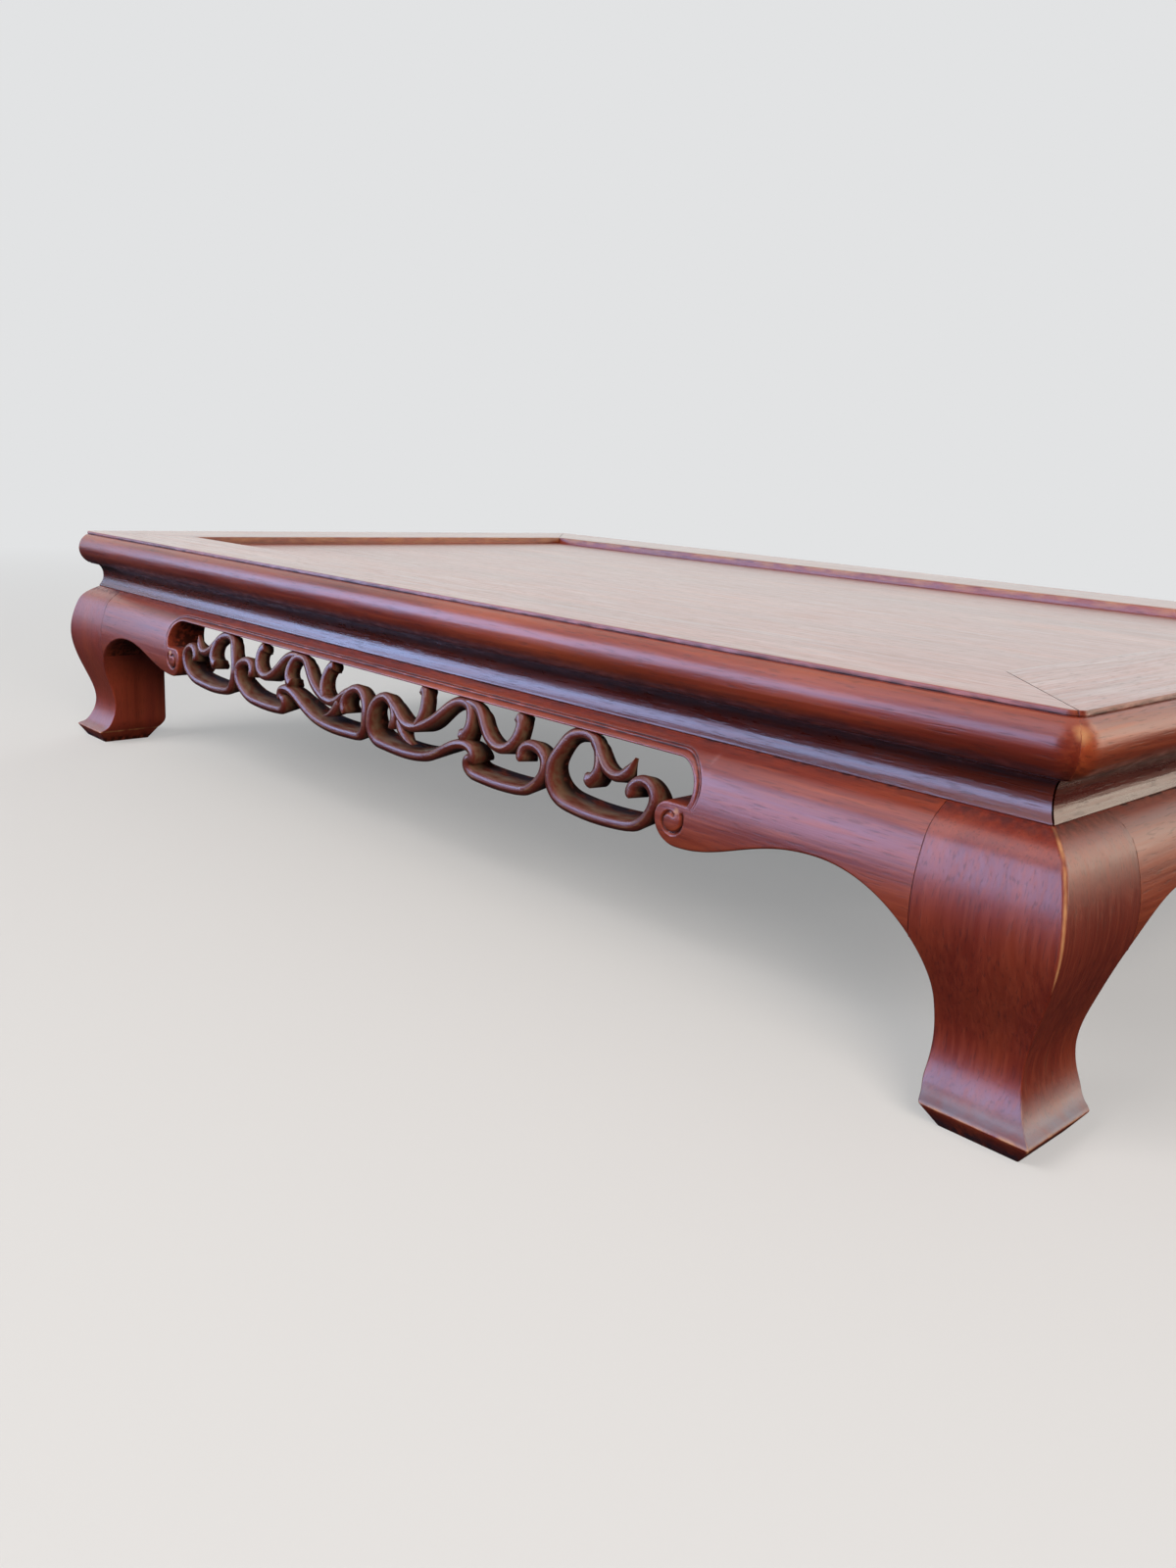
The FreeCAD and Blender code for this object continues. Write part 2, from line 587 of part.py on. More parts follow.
def band(points, width):
    """A strand of even width along a smooth line of tangent arcs, with round ends, as a flat face."""
    tangents = unit_tangents(points)
    stations = [points[0]]
    directions = [tangents[0]]
    for p, tp, q, tq in zip(points, tangents, points[1:], tangents[1:]):
        joint = biarc_joint(p, tp, q, tq)
        stations += [joint, q]
        directions += [arc_end_tangent(p, tp, joint), tq]
    sides = []
    for offset in (width / 2, -width / 2):
        edges = []
        for p, tp, q, tq in zip(stations, directions, stations[1:], directions[1:]):
            start = p + left_of(tp) * offset
            end = q + left_of(tq) * offset
            rise = bow(p, tp, q)
            middle = (p + q) * 0.5 + left_of((q - p).normalize()) * (rise + offset)
            edges.append(line(start, end) if abs(rise) < STRAIGHT else arc(start, middle, end))
        sides.append(edges)
    half = width / 2
    first, last = stations[0], stations[-1]
    out_first, out_last = -directions[0] * half, directions[-1] * half
    cap_end = arc(last + left_of(out_last), last + out_last, last - left_of(out_last))
    cap_start = arc(first + left_of(out_first), first + out_first, first - left_of(out_first))
    return face(sides[0] + [cap_end] + sides[1][::-1] + [cap_start])


def kept(first, last):
    """How much of the drawing between two places lies beside touching loops, and is never stretched."""
    return sum(max(0, min(last, u + MEETING_REACH) - max(first, u - MEETING_REACH)) for u in MEETINGS)


def scroll_faces(length, strands, leaves, pads, start):
    """One half of a panel's scrolls as flat faces, drawn from start onwards and stretched to the nose."""
    last_line = length - NOTCH_REACH - NOSE_LENGTH - FRET_END_GAP - STRAND_WIDTH / 2
    all_kept = kept(start, DRAWING_END)
    stretch_x = (last_line - all_kept) / (DRAWING_END - start - all_kept)
    stretch_z = (NOTCH_TOP - FRET_BASE) / DRAWING_HEIGHT

    def at(u, v):
        steady = kept(start, u)
        return V(steady + (u - start - steady) * stretch_x, 0, FRET_BASE + v * stretch_z)

    faces = [band([at(u, v) for u, v in points], STRAND_WIDTH) for points in strands]
    faces += [band([at(u, v) for u, v in points], LEAF_WIDTH) for points in leaves]
    for first, last in pads:
        corners = [(first, DRAWING_HEIGHT - PAD_DEPTH), (last, DRAWING_HEIGHT - PAD_DEPTH),
                   (last, DRAWING_HEIGHT), (first, DRAWING_HEIGHT)]
        faces.append(polygon([at(u, v) for u, v in corners]))
    return faces


def fretwork(length, width, faces):
    """Openwork panel of the front side: half the scrolls cut through a bulging slab, and their reflection."""
    depth = V(0, -width - BULGE_OUT, 0)
    scrolls = joined([f.extrude(depth) for f in faces])
    half = bulging_slab(length, width, FRET_RECESS, None).common(scrolls)
    return joined([half, mirrored_x(half)])


def make_sides():
    """Waist strips, aprons and openwork panels on all four sides."""
    end_faces = list(END_STRANDS.values())
    long_faces = scroll_faces(HALF_LENGTH, list(MIDDLE_STRANDS.values()) + end_faces, [MIDDLE_LEAF],
                              MIDDLE_PADS + END_PADS, 0)
    short_faces = scroll_faces(HALF_WIDTH, end_faces, [], END_PADS, CELL_START)
    parts = {}
    for names, length, width, turn, faces in ((("front", "back"), HALF_LENGTH, HALF_WIDTH, 0, long_faces),
                                              (("right", "left"), HALF_WIDTH, HALF_LENGTH, 90, short_faces)):
        pieces = {"waist": waist_strip(length, width), "apron": apron(length, width),
                  "fretwork": fretwork(length, width, faces)}
        for kind, piece in pieces.items():
            for half_turn, name in enumerate(names):
                parts[f"{name}_{kind}"] = piece.rotated(CENTRE, UP, turn + 180 * half_turn)
    return parts


def main():
    """Builds every piece and writes each to its own file."""
    parts = {}
    for maker in (make_rails, make_boards, make_battens, make_sides, make_legs):
        parts.update(maker())
    os.makedirs("parts", exist_ok=True)
    for name, shape in parts.items():
        solids = shape.Solids
        print(f"{name}: {len(solids)} solid, valid {shape.isValid()}, {shape.Volume / 1000:.1f} cm3, "
              f"{len(shape.Faces)} faces")
        piece = solids[0] if len(solids) == 1 else Part.makeCompound(solids)
        piece.exportStep(f"parts/{name}.step")


main()
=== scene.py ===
"""Low display table in polished rosewood: dresses the table's frame, lights it and sets the camera.

Sizes are in millimetres and become metres where a mesh is made. X runs along the long sides, Y from
front to back, Z up. An outward distance is measured from the edge of the flat top:
a negative one lies inside that edge.
"""

import logging
import math
from dataclasses import dataclass, field
from enum import Enum

import bmesh
import bpy
import numpy as np
from mathutils import Matrix, Vector


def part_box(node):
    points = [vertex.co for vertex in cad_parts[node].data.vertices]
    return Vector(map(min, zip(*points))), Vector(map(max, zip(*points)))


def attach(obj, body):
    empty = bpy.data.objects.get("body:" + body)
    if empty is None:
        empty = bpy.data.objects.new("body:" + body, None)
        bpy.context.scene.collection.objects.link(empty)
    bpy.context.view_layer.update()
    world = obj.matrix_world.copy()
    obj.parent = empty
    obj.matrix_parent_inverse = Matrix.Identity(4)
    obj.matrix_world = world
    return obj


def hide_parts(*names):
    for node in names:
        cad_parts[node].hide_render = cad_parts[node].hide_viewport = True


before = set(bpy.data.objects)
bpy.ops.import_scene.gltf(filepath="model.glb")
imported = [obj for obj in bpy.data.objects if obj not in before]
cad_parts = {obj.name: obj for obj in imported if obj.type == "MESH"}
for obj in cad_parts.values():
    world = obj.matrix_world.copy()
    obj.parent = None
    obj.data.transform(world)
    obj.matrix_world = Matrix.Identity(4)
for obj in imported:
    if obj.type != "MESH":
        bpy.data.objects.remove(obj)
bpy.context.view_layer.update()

MM = 0.001
BODY = "root"
LOG = logging.getLogger("display_table")
Array = np.ndarray

# Points nearer than the distance are welded, and edges that turn by more than the angle stay sharp
WELD_DISTANCE = 0.002
SHARP_ANGLE = 42.0


# Sizes shared by the sub-assemblies

ROLL_OUT = 6.3
LEG_TOP = 118.0
RAIL_UNDER = 135.0
TABLE_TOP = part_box("front_rail")[1].z / MM
HALF_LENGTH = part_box("right_rail")[1].x / MM - ROLL_OUT
HALF_WIDTH = -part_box("front_rail")[0].y / MM - ROLL_OUT
LEG_REACH = 47.0

# Outer curve of legs and aprons: outward distance at each height
OUTER_HEIGHT = np.array([9.0, 11.3, 14.2, 17.7, 29.0, 51.0, 81.0, 104.0, 113.3, 118.0])
OUTER_OUT = np.array([9.0, 5.1, 2.6, 0.8, -2.1, 2.9, 10.4, 6.4, 0.4, -6.6])

# Elliptical arch from the apron's spandrel down the inner side of a leg
CROWN_REACH = 90.0
ANKLE_REACH = 38.4
ARCH_TOP = 88.0
ARCH_SPRING = 46.0


class Grain(Enum):
    """Direction of the wood's grain in a piece."""

    ALONG_X = 0
    ALONG_Y = 1
    ALONG_Z = 2


class Side(Enum):
    """The four sides of the table, each a quarter turn on from the one before."""

    FRONT = 0
    RIGHT = 1
    BACK = 2
    LEFT = 3

    @property
    def is_long(self) -> bool:
        """Whether this is one of the two long sides."""
        return self in (Side.FRONT, Side.BACK)

    @property
    def half(self) -> float:
        """Half the length of the flat top along this side."""
        return HALF_LENGTH if self.is_long else HALF_WIDTH

    @property
    def grain(self) -> Grain:
        """Grain direction of a member that runs along this side."""
        return Grain.ALONG_X if self.is_long else Grain.ALONG_Y

    def node(self, kind: str) -> str:
        """Name of this side's node of a kind."""
        return f"{self.name.lower()}_{kind}"

    def finish(self, name: str) -> str:
        """Name of a finish whose grain runs along this side."""
        return f"{name}_{'x' if self.is_long else 'y'}"

    def place(self, along: Array, out: Array, height: Array) -> Array:
        """Turns places on this side into points of the table.

        Args:
            along: distance from the side's middle, to the right as seen from outside.
            out: outward distance from the edge of the flat top.
            height: height above the floor.

        Returns:
            Points with a last axis of x, y and z.
        """
        depth = HALF_WIDTH if self.is_long else HALF_LENGTH
        cos, sin = ((1, 0), (0, 1), (-1, 0), (0, -1))[self.value]
        across = -(depth + out)
        x, y = along * cos - across * sin, along * sin + across * cos
        return np.stack(np.broadcast_arrays(x, y, height), axis=-1)


def natural_spline(knots: Array, values: Array, at: Array) -> Array:
    """Cubic through the values at the knots, with no bend at either end.

    The bends at the inner knots solve one linear system; between two knots the curve is the straight
    mix of both values plus the cubic terms of both bends.

    Args:
        knots: rising parameters of the values.
        values: one row per knot.
        at: parameters to evaluate.

    Returns:
        One row per parameter.
    """
    rows = values if values.ndim == 2 else values[:, None]
    gap = np.diff(knots)
    inner = np.arange(1, len(knots) - 1)
    system = np.eye(len(knots))
    system[inner, inner - 1] = gap[:-1]
    system[inner, inner] = 2 * (gap[:-1] + gap[1:])
    system[inner, inner + 1] = gap[1:]
    change = np.zeros_like(rows)
    change[1:-1] = 6 * np.diff(np.diff(rows, axis=0) / gap[:, None], axis=0)
    bend = np.linalg.solve(system, change)
    k = np.clip(np.searchsorted(knots, at, side="right") - 1, 0, len(knots) - 2)
    b = ((at - knots[k]) / gap[k])[..., None]
    a = 1 - b
    cubic = ((a ** 3 - a) * bend[k] + (b ** 3 - b) * bend[k + 1]) * gap[k][..., None] ** 2 / 6
    result = a * rows[k] + b * rows[k + 1] + cubic
    return result if values.ndim == 2 else result[..., 0]


def outer_out(height: Array) -> Array:
    """Outward distance of the shared outer curve at a height, held level beyond its ends."""
    return natural_spline(OUTER_HEIGHT, OUTER_OUT, np.clip(height, OUTER_HEIGHT[0], OUTER_HEIGHT[-1]))


def outer_slope(height: Array) -> Array:
    """Change of the outer curve's outward distance per millimetre of height."""
    step = 0.5
    return (outer_out(height + step) - outer_out(height - step)) / (2 * step)


def arc(centre: tuple[float, float], radius: float, first: float, last: float, count: int) -> Array:
    """Points on a circle from one angle to another, in degrees, both ends included."""
    turn = np.radians(np.linspace(first, last, count))
    return np.stack([centre[0] + radius * np.cos(turn), centre[1] + radius * np.sin(turn)], axis=-1)


def ramp(value: Array, low: float, high: float) -> Array:
    """Smooth step: 0 at low, 1 at high, with level ends."""
    share = np.clip((value - low) / (high - low), 0, 1)
    return share * share * (3 - 2 * share)


def bell(value: Array, middle: float, spread: float) -> Array:
    """Bell curve: 1 at the middle, and 1 / e at the spread from it."""
    return np.exp(-((value - middle) / spread) ** 2)


def left_normals(tangent: Array) -> Array:
    """Unit normals to the left of the given directions."""
    unit = tangent / np.maximum(np.linalg.norm(tangent, axis=1, keepdims=True), 1e-9)
    return np.stack([-unit[:, 1], unit[:, 0]], axis=-1)


def outward_normals(loop: Array) -> Array:
    """Unit normals of a closed loop in the plane, pointing out of it whichever way it runs.

    Each is square to the line between both neighbours, and the sign of the loop's area turns it outwards.

    Args:
        loop: points of the loop.

    Returns:
        One normal per point.
    """
    following = np.roll(loop, -1, axis=0)
    area = np.sum(loop[:, 0] * following[:, 1] - following[:, 0] * loop[:, 1])
    return -np.sign(area) * left_normals(following - np.roll(loop, 1, axis=0))


def run_lengths(points: Array) -> Array:
    """Length along a line of points, from its start to each of them."""
    return np.concatenate([[0], np.cumsum(np.linalg.norm(np.diff(points, axis=0), axis=1))])


def bezier(t: Array, *points: tuple[float, float]) -> Array:
    """Curve from the first point to the last, drawn towards those between with binomial weights."""
    n = len(points) - 1
    return sum(math.comb(n, i) * t ** i * (1 - t) ** (n - i) * np.array(p) for i, p in enumerate(points))


# Meshes

def stand(name: str, data: bpy.types.ID) -> bpy.types.Object:
    """Puts a new object into the scene.

    Args:
        name: its name.
        data: its mesh, lamp or camera.

    Returns:
        The object.
    """
    item = bpy.data.objects.new(name, data)
    bpy.context.scene.collection.objects.link(item)
    return item


@dataclass
class Shell:
    """Sheets of points that together close one piece, with two marks at each point: rubbed spots with
    painted highlights, and dusty spots, dark joints and painted shade.
    """

    points: list[Array] = field(default_factory=list)
    wear_and_highlight: list[Array] = field(default_factory=list)
    dust: list[Array] = field(default_factory=list)
    faces: list[list[int]] = field(default_factory=list)
    count: int = 0

    def add_points(self, points: Array, wear_and_highlight: Array | float, dust: Array | float) -> Array:
        """Adds points with their marks.

        Args:
            points: points in millimetres, with a last axis of three.
            wear_and_highlight: how much rubbed lightening and painted highlight each point has, from 0 to 1.
            dust: how far each point is darkened by dusty spots, a joint line and painted shade, from 0 to 1.

        Returns:
            The points' numbers.
        """
        shape = points.shape[:-1]
        self.points.append(points.reshape(-1, 3))
        self.wear_and_highlight.append(np.broadcast_to(wear_and_highlight, shape).ravel())
        self.dust.append(np.broadcast_to(dust, shape).ravel())
        number = self.count + np.arange(math.prod(shape)).reshape(shape)
        self.count += number.size
        return number

    def add_sheet(self, grid: Array, wear_and_highlight: Array | float = 0.0, dust: Array | float = 0.0,
                  closed: bool = False) -> None:
        """Adds a grid of points as four-sided faces.

        Args:
            grid: points as rows by columns by three.
            wear_and_highlight: how much rubbed lightening and painted highlight each point has.
            dust: how far each point is darkened by dusty spots, a joint line and painted shade.
            closed: whether the last column joins the first.
        """
        number = self.add_points(grid, wear_and_highlight, dust)
        if closed:
            number = np.concatenate([number, number[:, :1]], axis=1)
        quads = np.stack([number[:-1, :-1], number[1:, :-1], number[1:, 1:], number[:-1, 1:]], axis=-1)
        self.faces += quads.reshape(-1, 4).tolist()

    def add_bar(self, grid: Array, wear_and_highlight: Array | float, dust: Array | float) -> None:
        """Adds a section carried along a path: a closed sheet with a flat face at both ends.

        Args:
            grid: the section's points at each station.
            wear_and_highlight: how much rubbed lightening and painted highlight each point has.
            dust: how far each point is darkened by dusty spots, a joint line and painted shade.
        """
        self.add_sheet(grid, wear_and_highlight, dust, closed=True)
        self.faces += [self.add_points(loop, 0.0, 0.0).tolist() for loop in (grid[0], grid[-1])]

    def piece(self, node: str, form: str, finish: "Finish", slot: str) -> None:
        """Welds the sheets into a mesh, turns its faces outwards and puts it in the place of a node.

        Args:
            node: the frame's node that the piece stands for.
            form: word for its shape, which ends its name.
            finish: the finish it gets.
            slot: not used.
        """
        name = f"{node}_{form}"
        mesh = bpy.data.meshes.new(name)
        mesh.from_pydata((np.concatenate(self.points) * MM).tolist(), [], self.faces)
        for label, values in (("wear_and_highlight", self.wear_and_highlight), ("dust", self.dust)):
            layer = mesh.attributes.new(label, "FLOAT", "POINT")
            layer.data.foreach_set("value", np.concatenate(values).astype(np.float32))
        weld = bmesh.new()
        weld.from_mesh(mesh)
        bmesh.ops.remove_doubles(weld, verts=weld.verts, dist=WELD_DISTANCE * MM)
        bmesh.ops.recalc_face_normals(weld, faces=weld.faces)
        weld.to_mesh(mesh)
        weld.free()
        mesh.polygons.foreach_set("use_smooth", np.ones(len(mesh.polygons), dtype=bool))
        mesh.set_sharp_from_angle(angle=math.radians(SHARP_ANGLE))
        mesh.materials.append(finish.material())
        piece = stand(name, mesh)
        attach(piece, BODY)
        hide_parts(node)
        LOG.info("%s: %d faces", name, len(mesh.polygons))


def dress(node: str, finish: "Finish") -> None:
    """Gives a node of the frame its finish.

    Args:
        node: the node's name.
        finish: the finish it gets.
    """
    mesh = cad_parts[node].data
    mesh.materials.clear()
    mesh.materials.append(finish.material())
    LOG.info("%s: %s", node, finish.name)


# Finishes

def linear(colour: str) -> tuple[float, float, float, float]:
    """Turns an sRGB hex colour into the linear values that a shader takes."""
    parts = [int(colour[i:i + 2], 16) / 255 for i in (1, 3, 5)]
    return (*[c / 12.92 if c <= 0.04045 else ((c + 0.055) / 1.055) ** 2.4 for c in parts], 1.0)


def empty_tree(block: bpy.types.Material | bpy.types.World) -> bpy.types.NodeTree:
    """Gives a material or the world an empty tree of nodes.

    Args:
        block: the material or world.

    Returns:
        Its tree.
    """
    block.use_nodes = True
    block.node_tree.nodes.clear()
    return block.node_tree


def add(tree: bpy.types.NodeTree, kind: str, inputs: dict | tuple = (), output: str | int = 0,
        **settings: object) -> bpy.types.NodeSocket | None:
    """Adds one shader node with its settings and links.

    Args:
        tree: the material's or world's nodes.
        kind: the node's type, without the prefix that all have.
        inputs: value or socket for each input, in order, or by name or number.
        output: name or number of the output that is wanted.
        settings: the node's own properties.

    Returns:
        That output, or nothing for a node that ends the tree.
    """
    node = tree.nodes.new("ShaderNode" + kind)
    for key, value in settings.items():
        setattr(node, key, value)
    for key, value in inputs.items() if isinstance(inputs, dict) else enumerate(inputs):
        if isinstance(value, bpy.types.NodeSocket):
            tree.links.new(value, node.inputs[key])
        else:
            node.inputs[key].default_value = value
    return node.outputs[output] if node.outputs else None


class Pattern(Enum):
    """Patterns in the wood: width across and length along the grain in millimetres, detail, distortion.

    Rosewood's pores are about 0.2 mm wide and its fibres finer, too fine to show, so both are drawn
    several times as wide.
    """

    FIGURE = (7.0, 150.0, 3.0, 0.5)
    FIBRE = (1.6, 45.0, 3.0, 0.0)
    PORES = (0.8, 9.0, 1.0, 0.0)
    PATCHES = (40.0, 260.0, 2.0, 0.0)
    GLOW = (22.0, 180.0, 2.0, 0.0)
    RUBBING = (6.0, 18.0, 4.0, 0.0)
    SETTLING = (9.0, 20.0, 4.0, 0.0)
    GRIME = (3.0, 9.0, 4.0, 0.0)
    WAVES = (26.0, 60.0, 1.0, 0.0)


@dataclass(frozen=True)
class Finish:
    """Rosewood, planed and rubbed with wax and shellac to a satin polish.

    The eye sees a deep red-brown ground, darker and lighter streaks along the grain, short dark pores,
    and soft reflections that the grain breaks up a little. Edges rub through to a lighter brown, a few
    faces get a painted highlight, the carving is dusty and joint lines are dark, painted shade darkens
    recesses and undersides, and a painted pale sheen lies on the feet. Level faces are rubbed smoother
    and more even.
    """

    name: str
    grain: Grain
    ground: str = "#803322"
    streak: str = "#551b12"
    light: str = "#a9552f"
    worn_and_lit: str = "#c6996d"
    grime: str = "#1c0c09"
    deep: str = "#170a07"
    sheen: str = "#8d8791"
    roughness: float = 0.36
    coat: float = 0.15
    coat_roughness: float = 0.2
    ior: float = 1.52
    figure_share: float = 0.8
    worn_and_lit_share: float = 0.8
    grime_share: float = 0.85
    sheen_share: float = 0.0
    sheen_full: float = 20.0
    sheen_end: float = 45.0
    relief: float = 0.35
    relief_depth: float = 0.8
    flat_relief: float = 0.025
    flat_even: float = 0.5
    flat_from: float = 0.7
    flat_full: float = 0.97

    def material(self) -> bpy.types.Material:
        """The material of this finish, made the first time that it is asked for."""
        return bpy.data.materials.get(self.name) or self.make()

    def make(self) -> bpy.types.Material:
        """Builds the material: colours laid over each other by their shares, then roughness and relief.

        Returns:
            The new material.
        """
        material = bpy.data.materials.new(self.name)
        tree = empty_tree(material)
        place = add(tree, "TexCoord", output="Object")
        upward = add(tree, "SeparateXYZ", (add(tree, "NewGeometry", output="Normal"),), "Z")
        level = (upward, self.flat_from, self.flat_full)
        noise = {}
        for pattern in Pattern:
            width, length, detail, distortion = pattern.value
            scale = [1.0, 1.0, 1.0]
            scale[self.grain.value] = width / length
            squeezed = add(tree, "Mapping", {"Vector": place, "Scale": scale})
            noise[pattern] = add(tree, "TexNoise", {"Vector": squeezed, "Scale": 1 / (width * MM),
                                                    "Detail": detail, "Distortion": distortion})

        # Share of each layer: a value, the range that it is read in, and the shares at both ends of that
        shares = {label: add(tree, "MapRange", reading) for label, reading in {
            "figure": (noise[Pattern.FIGURE], 0.32, 0.62, 1 - self.figure_share, 1.0),
            "fibre": (noise[Pattern.FIBRE], 0.45, 0.75, 0.0, 0.4),
            "glow": (noise[Pattern.GLOW], 0.45, 0.75, 0.0, 0.5),
            "patches": (noise[Pattern.PATCHES], 0.5, 0.75, 0.0, 0.6),
            "even": (*level, 0.0, self.flat_even),
            "pores": (noise[Pattern.PORES], 0.58, 0.70, 0.0, 0.35)}.items()}

        # Marks kept at the points of the mesh, broken up by a pattern
        held = {}
        # The first mark holds rubbed spots and painted highlights; the second holds dusty spots, dark joint
        # lines and painted shade
        for label, pattern, thick, low, high, most in (
                ("wear_and_highlight", Pattern.RUBBING, 0.65, 0.15, 0.75, self.worn_and_lit_share),
                ("dust", Pattern.GRIME, 0.6, 0.1, 0.7, self.grime_share)):
            held[label] = add(tree, "Attribute", output="Fac", attribute_name=label)
            broken = add(tree, "MapRange", (noise[pattern], 0.25, thick))
            amount = add(tree, "Math", (held[label], broken), operation="MULTIPLY")
            shares[label] = add(tree, "MapRange", (amount, low, high, 0.0, most))
        # Where the shade value is high the colour turns to the deep one: painted shade in recesses and under
        # parts, and dark joint lines
        dark = add(tree, "MapRange", (held["dust"], 0.6, 0.95))
        wax = add(tree, "Mix", {0: dark, 6: linear(self.grime), 7: linear(self.deep)}, 2, data_type="RGBA")

        # Painted sheen: a pale tint on faces that look up, near the floor, in uneven spots
        sheen_amount = add(tree, "MapRange", (add(tree, "SeparateXYZ", (place,), "Z"),
                                         self.sheen_full * MM, self.sheen_end * MM, self.sheen_share, 0.0))
        for reading in ((upward, 0.3, 0.75), (noise[Pattern.SETTLING], 0.3, 0.65, 0.4, 1.0)):
            sheen_amount = add(tree, "Math", (sheen_amount, add(tree, "MapRange", reading)), operation="MULTIPLY")

        colour = linear(self.streak)
        for share, over in ((shares["figure"], linear(self.ground)), (shares["fibre"], linear(self.light)),
                            (shares["glow"], linear(self.light)), (shares["patches"], linear(self.streak)),
                            (shares["even"], linear(self.ground)), (shares["pores"], linear(self.grime)),
                            (shares["wear_and_highlight"], linear(self.worn_and_lit)), (sheen_amount, linear(self.sheen)),
                            (shares["dust"], wax)):
            colour = add(tree, "Mix", {0: share, 6: colour, 7: over}, 2, data_type="RGBA")

        # Marked spots are duller
        dull = 0.0
        for label, weight in (("dust", 1.0), ("wear_and_highlight", 1.0), ("pores", 0.5)):
            dull = add(tree, "Math", (shares[label], weight, dull), operation="MULTIPLY_ADD")
        duller = add(tree, "MapRange", (dull, 0.0, 1.0, 0.0, 0.4))
        fibre, waves = noise[Pattern.FIBRE], noise[Pattern.WAVES]
        gloss = add(tree, "MapRange", (fibre, 0.3, 0.7, self.roughness - 0.05, self.roughness + 0.06))
        roughness = add(tree, "Math", (gloss, duller), operation="ADD")

        # Relief: raised fibres, sunk pores and slow waves left by the plane
        height = 0.0
        for value, weight in ((fibre, 0.4), (shares["pores"], -0.25), (waves, 0.3)):
            height = add(tree, "Math", (value, weight, height), operation="MULTIPLY_ADD")
        strength = add(tree, "MapRange", (*level, self.relief, self.flat_relief))
        bump = add(tree, "Bump", {"Height": height, "Strength": strength,
                                  "Distance": self.relief_depth * MM})
        shader = add(tree, "BsdfPrincipled", {"Base Color": colour, "Roughness": roughness, "Normal": bump,
                                              "IOR": self.ior, "Coat Weight": self.coat,
                                              "Coat Roughness": self.coat_roughness})
        add(tree, "OutputMaterial", {"Surface": shader})
        return material


# Top frame

